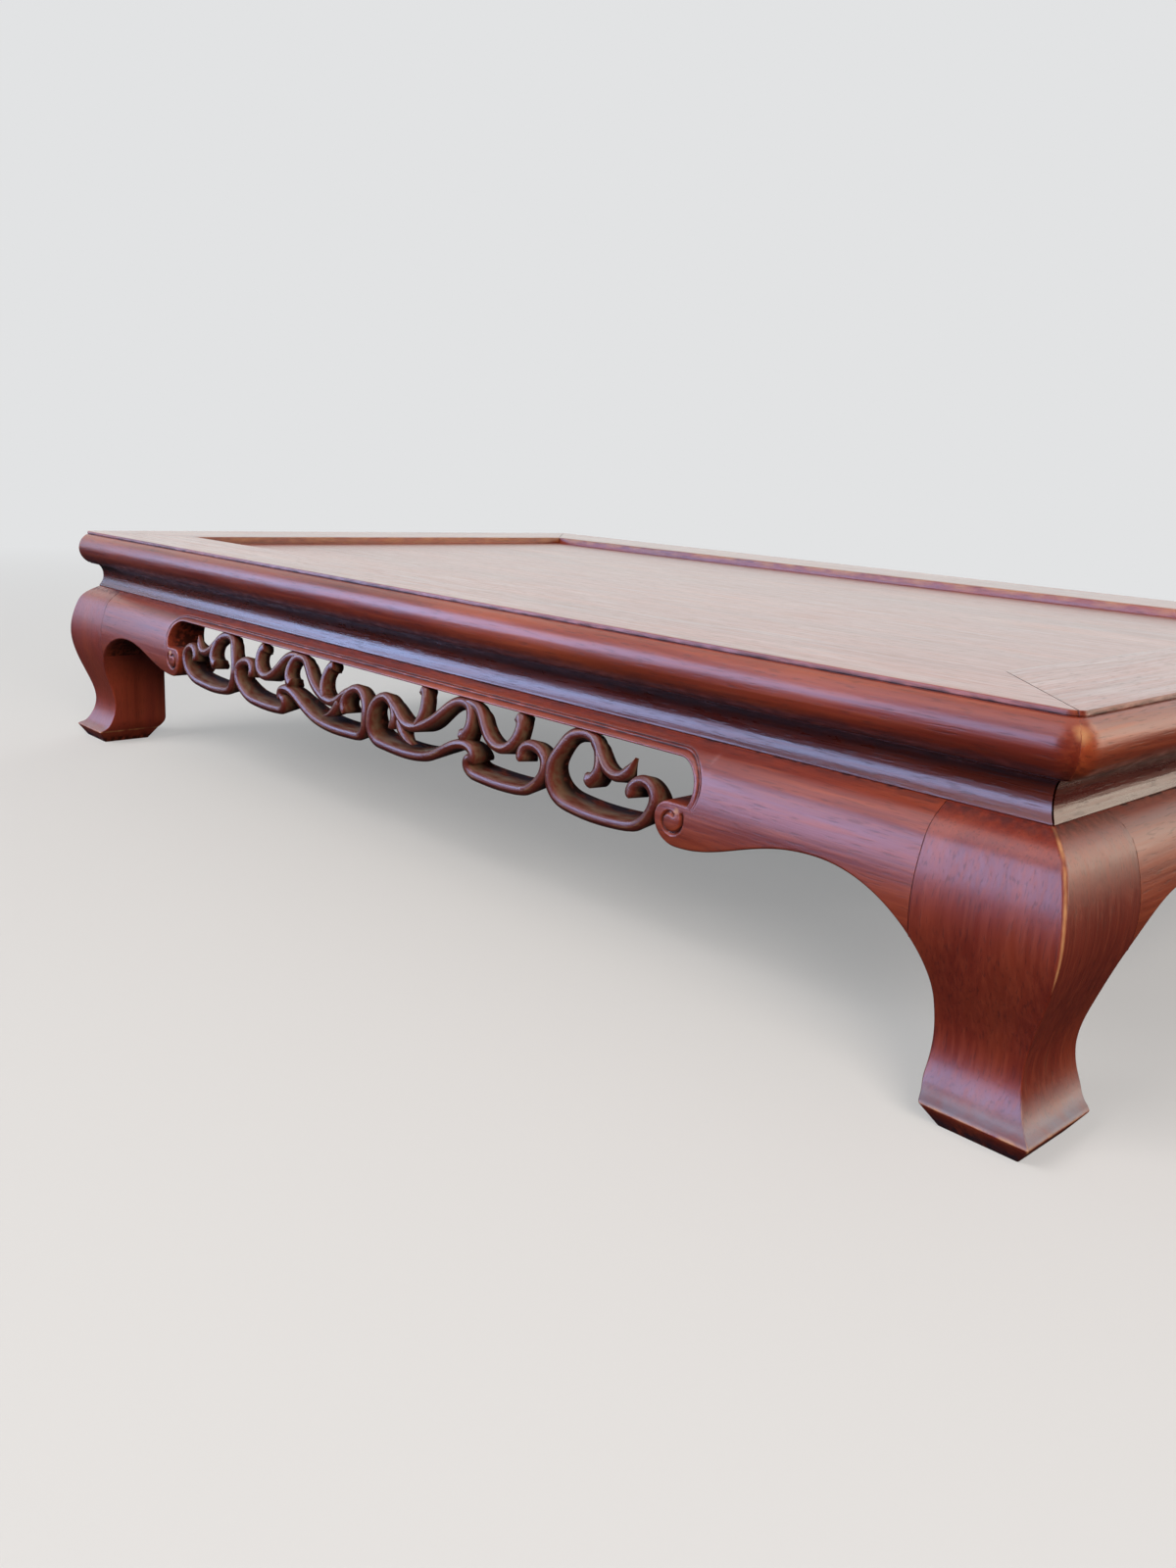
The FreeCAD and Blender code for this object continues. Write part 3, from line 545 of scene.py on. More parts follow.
@dataclass
class TopFrame:
    """Four mitred rails with a rolled edge, and the two boards and two battens that they hold."""

    width: float = 61.0
    quirk: float = 2.2
    fillet_height: float = 0.8
    fillet_set: float = 1.5
    corner_radius: float = 12.0
    groove_depth: float = 8.5
    groove_foot: float = 145.5
    groove_top: float = 150.65
    edge_round: float = 0.8
    edge_run: float = 4.0
    inner_run: float = 4.0
    inner_drop: float = 0.8
    under_bevel: float = 0.5
    fillet_bevel: float = 0.25
    quirk_cut: float = 0.6
    joint_cut: float = 0.5
    roll_cut: float = 0.08
    joint_run: float = 0.42
    joint_lead: float = 1.0
    edge_wear: float = 0.6
    wall_light: float = 0.5
    corner_wear: float = 0.7
    quirk_shade: float = 0.9
    roll_shade: float = 0.5

    # Steps of the quirk and the fillet: how far in, and how high over the top or the foot of the roll
    quirk_steps: tuple = ((0.15, 0.5), (0.6, 0.25), (0.6, 0.0), (0.25, -0.02))
    fillet_steps: tuple = ((0.3, 0.05), (1.5, 0.0))

    @property
    def roll_top(self) -> float:
        """Height at which the roll starts under the quirk."""
        return TABLE_TOP - self.quirk

    @property
    def roll_height(self) -> float:
        """Height of the roll, from the fillet under it to the quirk above it."""
        return self.roll_top - RAIL_UNDER - self.fillet_height

    def profile(self) -> Array:
        """Section of a rail as a closed loop, from the inner top edge onwards.

        The roll is one circular arc whose rise is ROLL_OUT over a chord of its height.

        Returns:
            Points of outward distance and height.
        """
        soft = self.edge_round
        half = self.roll_height / 2
        radius = (half * half + ROLL_OUT * ROLL_OUT) / (2 * ROLL_OUT)
        spread = math.degrees(math.asin(half / radius))
        roll_foot = self.roll_top - self.roll_height
        inner = -self.width
        shoulder = inner + self.inner_run
        inner_edge = arc((0, 0), 1, 180, 90, 7) * (self.inner_run, self.inner_drop)
        fillet = -self.fillet_set
        groove = inner + self.groove_depth
        return np.concatenate([
            inner_edge + (shoulder, TABLE_TOP - self.inner_drop),
            [(shoulder + 1, TABLE_TOP), (-self.edge_run, TABLE_TOP)],
            arc((-soft, TABLE_TOP - soft / 2), soft / 2, 90, 20, 5),
            [(-step, self.roll_top + rise) for step, rise in self.quirk_steps],
            arc((ROLL_OUT - radius, self.roll_top - half), radius, spread, -spread, 30),
            [(-step, roll_foot + rise) for step, rise in self.fillet_steps],
            [(fillet, RAIL_UNDER + self.fillet_bevel), (fillet - self.fillet_bevel, RAIL_UNDER),
             (inner + self.under_bevel, RAIL_UNDER), (inner, RAIL_UNDER + self.under_bevel),
             (inner, self.groove_foot), (groove, self.groove_foot), (groove, self.groove_top),
             (inner, self.groove_top)]])

    def marks(self, profile: Array) -> tuple[Array, Array]:
        """Marks of a rail: rubbed top edges, a painted light on the inner wall, and painted shade in the
        quirk and under the roll.

        Args:
            profile: points of the section.

        Returns:
            Rubbed spots with the painted light, and the painted shade, at each point.
        """
        out, height = profile.T
        # Painted shade in the quirk's narrow groove and on the lower half of the roll, which faces down
        quirk = bell(out, -self.quirk_cut, 1.0) * bell(height, self.roll_top + 0.7, 1.0)
        low_roll = ramp(self.roll_top - height, 0.5 * self.roll_height, self.roll_height)
        low_roll = low_roll * (out > -self.fillet_set - 1)
        edge = bell(out, 0, 0.5) * bell(height, TABLE_TOP, 0.5)
        # Painted light: the inner wall over the panel is lightened towards the top
        inner_wall = (out < 1 - self.width) * ramp(height, TABLE_TOP - 6, TABLE_TOP - 3)
        wear_and_highlight = self.edge_wear * edge + self.wall_light * inner_wall
        return wear_and_highlight, np.clip(self.quirk_shade * quirk + self.roll_shade * low_roll, 0, 1)

    def build_rail(self, side: Side) -> None:
        """Carries the section along one side, round the softened corner to the mitre at both ends.

        Points outside the corner's pivot turn about it by 45 degrees; points inside it run straight to
        the mitre. A small chamfer at the mitre leaves the fine line of the joint.

        Args:
            side: the side of the table.
        """
        profile = self.profile()
        wear_and_highlight, dust = self.marks(profile)
        out, height = profile.T
        core = self.corner_radius - ROLL_OUT
        reach = side.half - core
        turned = out > -core

        def station(turn: float, back: float, section: Array) -> tuple[Array, Array]:
            """Places of a section where the corner has turned by an angle.

            Args:
                turn: the angle in degrees.
                back: how far the section is drawn back from there.
                section: its points.

            Returns:
                Distances along and out.
            """
            outward = section[:, 0]
            r = np.where(turned, np.maximum(outward + core, 0), 0)
            angle = math.radians(turn)
            straight = side.half + outward - self.joint_lead * (1 - turn / 45)
            along = np.where(turned, reach + r * math.sin(angle), straight)
            return along - back * math.sqrt(0.5), np.where(turned, -core + r * math.cos(angle), outward)

        on_top = height > TABLE_TOP - self.inner_drop
        inset = profile - outward_normals(profile) * np.where(on_top, self.joint_cut, self.roll_cut)[:, None]
        end = station(0, 0, profile)[0]
        rows = [(end * share, out, height) for share in np.linspace(0, 1, 9)[:-1]]
        for turn in np.linspace(0, 45, 10):
            back = self.joint_run if turn == 45 else 0
            rows.append((*station(turn, back, profile), height))
        rows.append((*station(45, 0, inset), inset[:, 1]))
        right = np.array([side.place(*row) for row in rows])
        left = np.array([side.place(-along, *rest) for along, *rest in rows])
        grid = np.concatenate([left[:0:-1], right])
        number = np.arange(len(grid))
        from_end = np.minimum(number, len(grid) - 1 - number)[:, None]
        on_roll = bell(out, ROLL_OUT * 0.7, 3.0) * bell(height, TABLE_TOP - 7.0, 4.0)
        rubbed = np.clip(wear_and_highlight + self.corner_wear * on_roll * bell(from_end, 0, 5.0), 0, 1)
        held = np.maximum(dust, 1.0 * (from_end < 2) * on_top)
        shell = Shell()
        shell.add_bar(grid, rubbed, held)
        finish = Finish(side.finish("polished_rosewood_rail"), side.grain, relief=0.45)
        shell.piece(side.node("rail"), "rolled", finish, "frame_wood")

    def build(self) -> None:
        """Makes the rails and dresses the boards and battens of the frame."""
        for side in Side:
            self.build_rail(side)
        for board, ground in (("front", "#803322"), ("back", "#7e3221")):
            finish = Finish(f"polished_rosewood_{board}_board", Grain.ALONG_X, ground=ground,
                            figure_share=0.4, relief=0.3)
            dress(board + "_panel_board", finish)
        for end in ("left", "right"):
            dress(end + "_batten", Finish("planed_rosewood", Grain.ALONG_Y, roughness=0.6))


# Waist

@dataclass
class Waist:
    """Coved strips between the top frame and the aprons, mitred at the corners."""

    lip_set: float = 6.6
    lip_height: float = 0.7
    lip_lead: float = 3.9
    cove_set: float = 9.1
    cove_rise: float = 8.4
    head_set: float = 5.4
    head_lead: float = 2.5
    back_set: float = 22.0
    edge_round: float = 0.35
    joint_gap: float = 0.5
    dust_most: float = 0.5
    dust_rise: float = 8.0

    def profile(self) -> Array:
        """Section of a strip as a closed loop: lip, two parabolas that meet where it is deepest, back.

        Returns:
            Points of outward distance and height.
        """
        lip_top = LEG_TOP + self.lip_height
        soft = self.edge_round
        lip, cove = -self.lip_set - soft, -self.cove_set
        deepest = (cove, LEG_TOP + self.cove_rise)
        t = np.linspace(0, 1, 16)[:, None]
        below = bezier(t, (lip + soft / 2, lip_top + soft / 2), (cove, lip_top + self.lip_lead), deepest)
        above = bezier(t, deepest, (cove, RAIL_UNDER - self.head_lead), (-self.head_set, RAIL_UNDER))
        return np.concatenate([
            [(-self.back_set, LEG_TOP), (lip, LEG_TOP)],
            arc((lip, LEG_TOP + soft), soft, -80, 0, 4),
            arc((lip, lip_top - soft), soft, 0, 40, 4),
            below, above[1:], [(-self.back_set, RAIL_UNDER)]])

    def build(self) -> None:
        """Carries the section along each side, from mitre to mitre."""
        out, height = self.profile().T
        in_sight = out > -self.cove_set - 1
        # Painted shadow of the roll: the upper cove darkens towards the rail above it
        dust = self.dust_most * ramp(height, LEG_TOP + self.dust_rise, RAIL_UNDER - 2) * in_sight
        share = np.linspace(-1, 1, 17)[:, None]
        for side in Side:
            shell = Shell()
            shell.add_bar(side.place(share * (side.half + out - self.joint_gap), out, height), 0.0, dust)
            # Painted shade: the waist gets a darker ground and light colour than the other rosewood pieces
            finish = Finish(side.finish("polished_rosewood_waist"), side.grain, ground="#41140c",
                            light="#70351e", roughness=0.27, relief=0.38)
            shell.piece(side.node("waist"), "coved", finish, "waist_wood")


# Legs

@dataclass
class Legs:
    """Four cabriole legs, square in section, with a flared foot that is undercut to a smaller sole.

    Below the knee a leg is deeper from front to back than it is wide.
    """

    foot_reach: float = 35.0
    instep: float = 17.7
    foot_edge: float = 9.0
    sole_inset: float = 6.0
    ankle_deeper: float = 4.2
    foot_deeper: float = 2.7
    arris_high: float = 1.7
    arris_low: float = 0.5
    inner_round: float = 1.0
    joint_round: float = 0.15
    joint_line: float = 0.2
    edge_soft: float = 0.35
    shoulder_soft: float = 0.25
    sole_soft: float = 0.3
    arris_rise: tuple[float, float] = (50.0, 104.0)
    worn_foot: tuple[float, float] = (12.0, 26.0)
    worn_knee: tuple[float, float] = (55.0, 85.0)
    knee_wear: float = 0.75
    edge_wear: float = 0.8
    least_wear: float = 0.2
    sole_shade: float = 0.9
    waist_shade: float = 0.55
    joint_dust: float = 0.7
    corner_points: int = 7

    @property
    def knee(self) -> float:
        """Height at which the arch leaves the plane of the joint with the apron."""
        share = (CROWN_REACH - LEG_REACH) / (CROWN_REACH - ANKLE_REACH)
        return ARCH_SPRING + (ARCH_TOP - ARCH_SPRING) * math.sqrt(1 - share * share)

    def heel(self, height: Array) -> Array:
        """How far the inner side has gone from the instep to the foot, as a square."""
        return np.clip((self.instep - height) / (self.instep - self.foot_edge), 0, 1) ** 2

    def width_reach(self, height: Array) -> Array:
        """How far the leg reaches in along the front: joint plane, arch, straight ankle, foot.

        Args:
            height: heights above the floor.

        Returns:
            Distances in from the edge of the flat top.
        """
        rise = np.clip((height - ARCH_SPRING) / (ARCH_TOP - ARCH_SPRING), 0, 1)
        arch = CROWN_REACH - (CROWN_REACH - ANKLE_REACH) * np.sqrt(1 - rise * rise)
        return np.minimum(arch, LEG_REACH) - (ANKLE_REACH - self.foot_reach) * self.heel(height)

    def depth_reach(self, height: Array) -> Array:
        """Reach from front to back: the same, and deeper by smooth steps from the knee to ankle and foot."""
        deeper = self.ankle_deeper * (1 - ramp(height, ARCH_SPRING, self.knee))
        return self.width_reach(height) + deeper - (self.ankle_deeper - self.foot_deeper) * self.heel(height)

    def levels(self) -> Array:
        """Heights of the rings, close together at the sole, the foot's edge and the instep.

        Returns:
            Heights from the floor to the shoulder.
        """
        edge, knee = self.foot_edge, self.knee
        instep = edge + self.edge_soft + np.linspace(0, 1, 14) ** 1.4 * (knee - edge - self.edge_soft) * 0.35
        return np.concatenate([[0.0, 0.35], np.linspace(0.8, edge - 0.5, 5), [edge - 0.15], instep,
                               np.linspace(edge + (knee - edge) * 0.38, knee - 0.3, 24),
                               np.linspace(knee + 0.2, LEG_TOP - 0.6, 34), [LEG_TOP]])

    def section(self, height: Array) -> Array:
        """Rings round the leg: outward distances along both sides, with an arc at each corner.

        Each corner has one more point close before and after its arc, so that the flat faces stay flat.

        Args:
            height: heights of the rings.

        Returns:
            Rings by points by two.
        """
        held = np.maximum(height, self.foot_edge)
        sole = np.clip((self.foot_edge - height) / self.foot_edge, 0, 1) * self.sole_inset
        outer = outer_out(held) - sole - self.edge_soft * bell(height, self.foot_edge, 0.4)
        outer = outer - self.shoulder_soft * (height == LEG_TOP) - self.sole_soft * (height == 0)
        inner, depth = self.width_reach(held) - sole, self.depth_reach(held) - sole
        arris = self.arris_low + (self.arris_high - self.arris_low) * ramp(height, *self.arris_rise)
        side_round = np.where(height > self.knee, self.joint_round, self.inner_round)
        corners = []
        for start, x, y, radius in ((0, outer, outer, arris), (90, -inner, outer, side_round),
                                    (180, -inner, -depth, side_round), (270, outer, -depth, side_round)):
            inwards = np.sign(arc((0, 0), 1, start + 45, start + 45, 1))
            centre = np.stack([x, y], axis=-1) - radius[:, None] * inwards
            quarter = arc((0, 0), 1, start, start + 90, self.corner_points)
            ring = centre[:, None] + radius[:, None, None] * quarter
            before = ring[:, :1] + arc((0, 0), self.joint_line, start - 90, start - 90, 1)
            after = ring[:, -1:] + arc((0, 0), self.joint_line, start + 180, start + 180, 1)
            corners += [before, ring, after]
        return np.concatenate(corners, axis=1)

    def marks(self, height: Array, count: int) -> tuple[Array, Array]:
        """Wear on the outer arris and the foot's edge; painted shade under the foot and under the waist, and
        dark joint lines.

        Args:
            height: heights of the rings.
            count: points in a ring.

        Returns:
            Wear, and the painted shade with the dark joints, as rings by points.
        """
        across = np.arange(count)
        corner = self.corner_points + 2
        level = height[:, None]
        on_knee = self.knee_wear * ramp(level, *self.worn_knee)
        along_arris = np.maximum(on_knee, 1 - ramp(level, *self.worn_foot)) + self.least_wear
        on_arris = bell(across, corner // 2, 1.8) * along_arris
        on_edge = self.edge_wear * bell(level, self.foot_edge, 0.5)
        wear_and_highlight = np.clip(on_arris + on_edge, 0, 1) * (level > self.foot_edge - 2)
        joints = np.r_[corner + 1:2 * corner - 1, 3 * corner + 1:4 * corner - 1]
        at_joint = np.isin(across, joints) * (level > self.knee)
        # Painted shade under the foot and under the waist's lip
        under_foot = self.sole_shade * (1 - ramp(level, 0, self.foot_edge - 0.6))
        under_waist = self.waist_shade * ramp(level, LEG_TOP - 5, LEG_TOP - 1)
        return wear_and_highlight, np.maximum(np.maximum(under_foot, under_waist), self.joint_dust * at_joint)

    def build(self) -> None:
        """Lofts a rounded square from the sole to the shoulder, once for each corner of the table."""
        height = self.levels()
        section = self.section(height)
        wear_and_highlight, dust = self.marks(height, section.shape[1])
        level = np.broadcast_to(height[:, None], section.shape[:2])
        for x_name, x_sign in (("right", 1), ("left", -1)):
            for y_name, y_sign in (("front", -1), ("back", 1)):
                x = x_sign * (HALF_LENGTH + section[..., 0])
                y = y_sign * (HALF_WIDTH + section[..., 1])
                shell = Shell()
                shell.add_bar(np.stack([x, y, level], axis=-1), wear_and_highlight, dust)
                node = f"{y_name}_{x_name}_leg"
                # Painted shade and sheen: the leg nearest the camera gets a darker ground and more painted
                # sheen than the others
                dark = node == "front_right_leg"
                finish = Finish("near_shaded_rosewood_leg" if dark else "polished_rosewood_leg", Grain.ALONG_Z,
                                ground="#722b1f" if dark else "#80352a", light="#94452a", figure_share=0.4,
                                sheen="#626a83", sheen_share=0.75 if dark else 0.4, relief=0.16)
                shell.piece(node, "cabriole", finish, "leg_wood")


# Aprons

@dataclass
class Apron:
    """Bulging board with a long beaded notch, a nose with a carved volute, and spandrels to the legs."""

    side: Side
    back_set: float = 18.0
    notch_reach: float = 155.0
    notch_top: float = 110.5
    notch_corner: float = 12.5
    nose_length: float = 18.7
    nose_radius: float = 12.0
    nose_foot: float = 73.0
    nose_handle: float = 26.0
    crown_handle: float = 31.0
    border: float = 5.0
    edge_round: float = 0.9
    bead_width: float = 2.7
    bead_rise: float = 0.35
    groove_depth: float = 0.4
    first_groove: float = 0.2
    second_groove: float = 1.2
    second_share: float = 0.7
    top_soft: float = 0.5
    top_drop: float = 0.4
    top_shade: float = 0.42
    joint_gap: float = 0.22
    joint_lean: float = 14.0
    volute_radius: float = 7.3
    volute_in: float = 9.4
    volute_height: float = 84.3
    volute_start: float = 7.2
    volute_shrink: float = 4.4
    volute_angle: float = 38.0
    volute_depth: float = 1.45
    volute_groove: float = 0.62
    volute_room: float = 12.0
    dome_rise: float = 0.55
    dome_radius: float = 4.2

    @property
    def joint_reach(self) -> float:
        """Distance from the flat top's end to the joint with the leg, with the gap of its fine line."""
        return LEG_REACH + self.joint_gap

    def path(self) -> tuple[Array, Array, Array, dict[str, slice]]:
        """Lower edge of the right half, from the middle along the notch, nose and spandrel to the leg.

        Returns:
            Points, unit normals into the board, the bead's share at each point, and each stretch's slice.
        """
        end = self.side.half - self.notch_reach
        bend = (end - self.notch_corner, self.notch_top - self.notch_corner)
        tip = end - self.nose_length
        tip_z = self.nose_foot + self.nose_radius
        volute = (tip + self.volute_radius, tip_z)
        nose = (tip + self.nose_radius, tip_z)
        volute_top = tip_z + self.volute_radius

        def level(first: tuple, last: tuple, count: int, way: float) -> tuple[Array, Array]:
            """A straight stretch; the board lies above it for way 1 and under it for way -1."""
            return np.linspace(first, last, count), np.tile((0.0, way), (count, 1))

        def turned(centre: tuple, radius: float, first: float, last: float, count: int,
                   way: float) -> tuple[Array, Array]:
            """A circular stretch; the board lies outside the circle for way 1 and inside it for way -1."""
            unit = arc((0, 0), 1, first, last, count)
            return np.array(centre) + radius * unit, way * unit

        under_bend = -math.degrees(math.asin((bend[1] - volute_top) / self.notch_corner))
        shelf = tuple(arc(bend, self.notch_corner, under_bend, under_bend, 1)[0])
        stretches = {
            "top": level((0, self.notch_top), (bend[0], self.notch_top), 14, 1),
            "bend": turned(bend, self.notch_corner, 90, 0, 13, 1),
            "end": turned(bend, self.notch_corner, 0, under_bend, 6, 1),
            "inside": turned(shelf, 0, under_bend, -90, 15, 1),
            "shelf": level(shelf, (volute[0], volute_top), 21, -1),
            "volute": turned(volute, self.volute_radius, 90, 180, 21, -1),
            "nose": turned(nose, self.nose_radius, 180, 270, 31, -1),
            "under": self.spandrel(nose[0])}
        slices, start = {}, 0
        for key, (points, _) in stretches.items():
            slices[key] = slice(start, start + len(points))
            start += len(points)
        points, normals = (np.concatenate(parts) for parts in zip(*stretches.values()))
        bead = np.zeros(start)
        bead[:slices["end"].start] = 1
        bead[slices["end"]] = np.linspace(1, 0, len(bead[slices["end"]]))
        return points, normals, bead, slices

    def spandrel(self, nose: float) -> tuple[Array, Array]:
        """Lower edge from the nose to the leg: a cubic curve up to the crown, then the elliptical arch.

        Near the leg the normals lean upright, so that the border ends along the joint.

        Args:
            nose: how far along the nose's foot stands.

        Returns:
            Points and normals into the board.
        """
        crown = (self.side.half - CROWN_REACH, ARCH_TOP)
        t = np.concatenate([np.linspace(0, 0.16, 25), np.linspace(0.16, 1, 29)[1:]])[:, None]
        curve = bezier(t, (nose, self.nose_foot), (nose + self.nose_handle, self.nose_foot),
                       (crown[0] - self.crown_handle, ARCH_TOP), crown)
        knee = math.asin((CROWN_REACH - self.joint_reach) / (CROWN_REACH - ANKLE_REACH))
        turn = np.linspace(0, knee, 17)[1:]
        arch = crown + np.stack([(CROWN_REACH - ANKLE_REACH) * np.sin(turn),
                                 (ARCH_TOP - ARCH_SPRING) * (np.cos(turn) - 1)], axis=-1)
        under = np.concatenate([curve, arch])
        tangent = np.gradient(under, axis=0)
        tangent[0] = (1, 0)
        normal = left_normals(tangent)
        upright = np.stack([np.zeros(len(under)), 1 / normal[:, 1]], axis=-1)
        joint = self.side.half - self.joint_reach
        near_leg = ramp(under[:, 0], joint - self.joint_lean, joint)[:, None]
        return under, normal * (1 - near_leg) + upright * near_leg

    def relief(self, inset: Array, bead: Array) -> Array:
        """Height of the face near the edge: a rounded edge, then a low bead beside two fine grooves.

        Args:
            inset: distances from the edge.
            bead: share of the bead at each place along the edge.

        Returns:
            Heights over the outer curve.
        """
        soft = np.clip(self.edge_round - inset, 0, self.edge_round)
        rounded = np.sqrt(self.edge_round ** 2 - soft ** 2) - self.edge_round
        dome = self.bead_rise * np.clip(1 - (2 * inset / self.bead_width - 1) ** 2, 0, 1)
        beside = inset - self.bead_width
        second = self.second_share * bell(beside, self.second_groove, 0.24)
        grooves = bell(beside, self.first_groove, 0.28) + second
        return rounded + bead * (dome - self.groove_depth * grooves)

    def layout(self) -> list[tuple[Array, Array, Array]]:
        """Patches of the right half of the face, each a grid of along and height with its relief and marks:
        painted shade in the bead's grooves, and a dark joint line along the top.

        A border follows the lower edge at even distances. Three ruled patches fill the rest: over the
        notch, inside the nose, and from there to the leg.

        Returns:
            Border, strip over the notch, nose and spandrel.
        """
        points, normals, bead, cut = self.path()
        inset = np.concatenate([[0, 0.1, 0.3, 0.6, 0.9], np.linspace(1.2, 2.4, 5),
                                np.linspace(2.55, 4.3, 13), [self.border]])
        border = points[:, None, :] + normals[:, None, :] * inset[None, :, None]
        beside = inset - self.bead_width
        # Painted shade in the bead's two grooves
        groove = bell(beside, self.first_groove, 0.35) + bell(beside, self.second_groove, 0.3)
        rim = border[:, -1]
        soft_top = LEG_TOP - self.top_soft

        def ruled(low: Array, high: Array, shares: Array) -> Array:
            """Straight lines from each low point to its high point, at the given shares."""
            return low[:, None, :] * (1 - shares[None, :, None]) + high[:, None, :] * shares[None, :, None]

        def level_top(along: Array) -> Array:
            """Points under the softened top edge."""
            return np.stack([along, np.full(len(along), soft_top)], axis=-1)

        def topped(grid: Array) -> tuple[Array, Array, Array]:
            """Adds the softened top row to a patch.

            Args:
                grid: the patch up to that row.

            Returns:
                The patch with its relief and dust.
            """
            crest = grid[:, -1:, :].copy()
            crest[..., 1] = LEG_TOP
            full = np.concatenate([grid, crest], axis=1)
            last = np.zeros(full.shape[:2])
            last[:, -1] = 1
            return full, -self.top_drop * last, last

        over_edge = rim[:cut["bend"].stop]
        over = ruled(over_edge, level_top(over_edge[:, 0]), np.linspace(0, 1, 6))
        upper = rim[cut["inside"].start:cut["volute"].stop]
        upper = upper[np.diff(run_lengths(upper), prepend=-1) > 1e-6]
        under, nose_count = rim[cut["under"]], 24
        lower = np.concatenate([rim[cut["nose"]], under[1:nose_count + 1]])[::-1]
        nose = ruled(lower, upper, np.linspace(0, 1, 30))
        flat = np.zeros(nose.shape[:2])
        bottom = under[nose_count:]
        left = np.concatenate([nose[0], rim[cut["end"]][::-1][1:], over[-1][1:]])
        rise = run_lengths(left)
        tops = level_top(np.linspace(left[-1, 0], self.side.half - self.joint_reach, len(bottom)))
        body = ruled(bottom, tops, rise / rise[-1])
        body[0] = left
        return [(border, self.relief(inset[None, :], bead[:, None]), bead[:, None] * groove),
                topped(over), (nose, flat, flat), topped(body)]

    def carving(self, grid: Array) -> tuple[Array, Array, Array]:
        """Volute on the nose: a low dome with a groove that winds inwards as the angle falls.

        The groove starts beside the end of the bead, at its largest radius, and runs down the right of
        the right-hand nose, under it and up its left. Its section is a bell curve across the radius.

        Args:
            grid: points of the right half, with a last axis of along and height.

        Returns:
            Height added to the face, painted shade in the groove, and a rubbed spot, at each point.
        """
        across = grid[..., 0] - (self.side.half - self.notch_reach - self.nose_length + self.volute_in)
        up = grid[..., 1] - self.volute_height
        radius = np.hypot(across, up)
        full_turn = 2 * math.pi
        wound = np.mod(math.radians(self.volute_angle) - np.arctan2(up, across), full_turn) / full_turn
        line = self.volute_start - self.volute_shrink * wound ** 0.85
        fade = np.clip((1 - wound) / 0.06, 0, 1) * np.clip(wound / 0.03, 0, 1)
        groove = bell(radius, line, self.volute_groove) * fade
        dome = self.dome_rise * np.exp(-(radius / self.dome_radius) ** 4)
        chip = bell(across, 3.2, 1.7) * bell(up, 4.6, 1.5)
        near = radius < self.volute_room
        return near * (dome - self.volute_depth * groove), near * np.minimum(1.4 * groove, 1), near * chip

    def build(self) -> None:
        """Bends the flat layout over the outer curve, and closes it with a flat back and straight walls."""
        side = self.side
        shell = Shell()
        patches = self.layout()
        border, over, _, body = patches
        edges = [(grid[:, column], drop[:, column])
                 for (grid, drop, _), column in ((border, 0), (over, -1), (body, -1))]
        edges += [(grid[-1], drop[-1]) for grid, drop, _ in (border, body)]
        shares = np.array([0, 0.2, 0.5, 1.0])[:, None, None]
        # Painted shade on the walls that run back from the face
        wall_shade = np.array([0, 0.7, 1, 1.0])[:, None]
        for mirror in (1, -1):
            for grid, relief, dust in patches:
                along, height = mirror * grid[..., 0], grid[..., 1]
                cut, held, rubbed = self.carving(grid)
                # Painted shadow under the waist's lip along the apron's top
                shelter = self.top_shade * ramp(height, LEG_TOP - 3.5, LEG_TOP - 0.8)
                face = side.place(along, outer_out(height) + relief + cut, height)
                shell.add_sheet(face, rubbed, np.maximum(np.maximum(dust, held), shelter))
                shell.add_sheet(side.place(along, -self.back_set, height))
            for line, drop in edges:
                along, height = mirror * line[:, 0], line[:, 1]
                face = side.place(along, outer_out(height) + drop + self.carving(line)[0], height)
                rear = side.place(along, -self.back_set, height)
                shell.add_sheet(face[None] * (1 - shares) + rear[None] * shares, 0.0, wall_shade)
        finish = Finish(side.finish("polished_rosewood_apron"), side.grain, ground="#7a3427",
                        figure_share=0.6, relief=0.22)
        shell.piece(side.node("apron"), "carved", finish, "apron_wood")


# Openwork

@dataclass(frozen=True)
class Strand:
    """One scroll: its centre line, its width, and how its last end is shaped.

    A tip is the length of a pointed end; a flare is the share by which a blunt end widens.
    """

    line: list[tuple[float, float]]
    width: float = 4.8
    tip: float = 0.0
    flare: float = 0.0


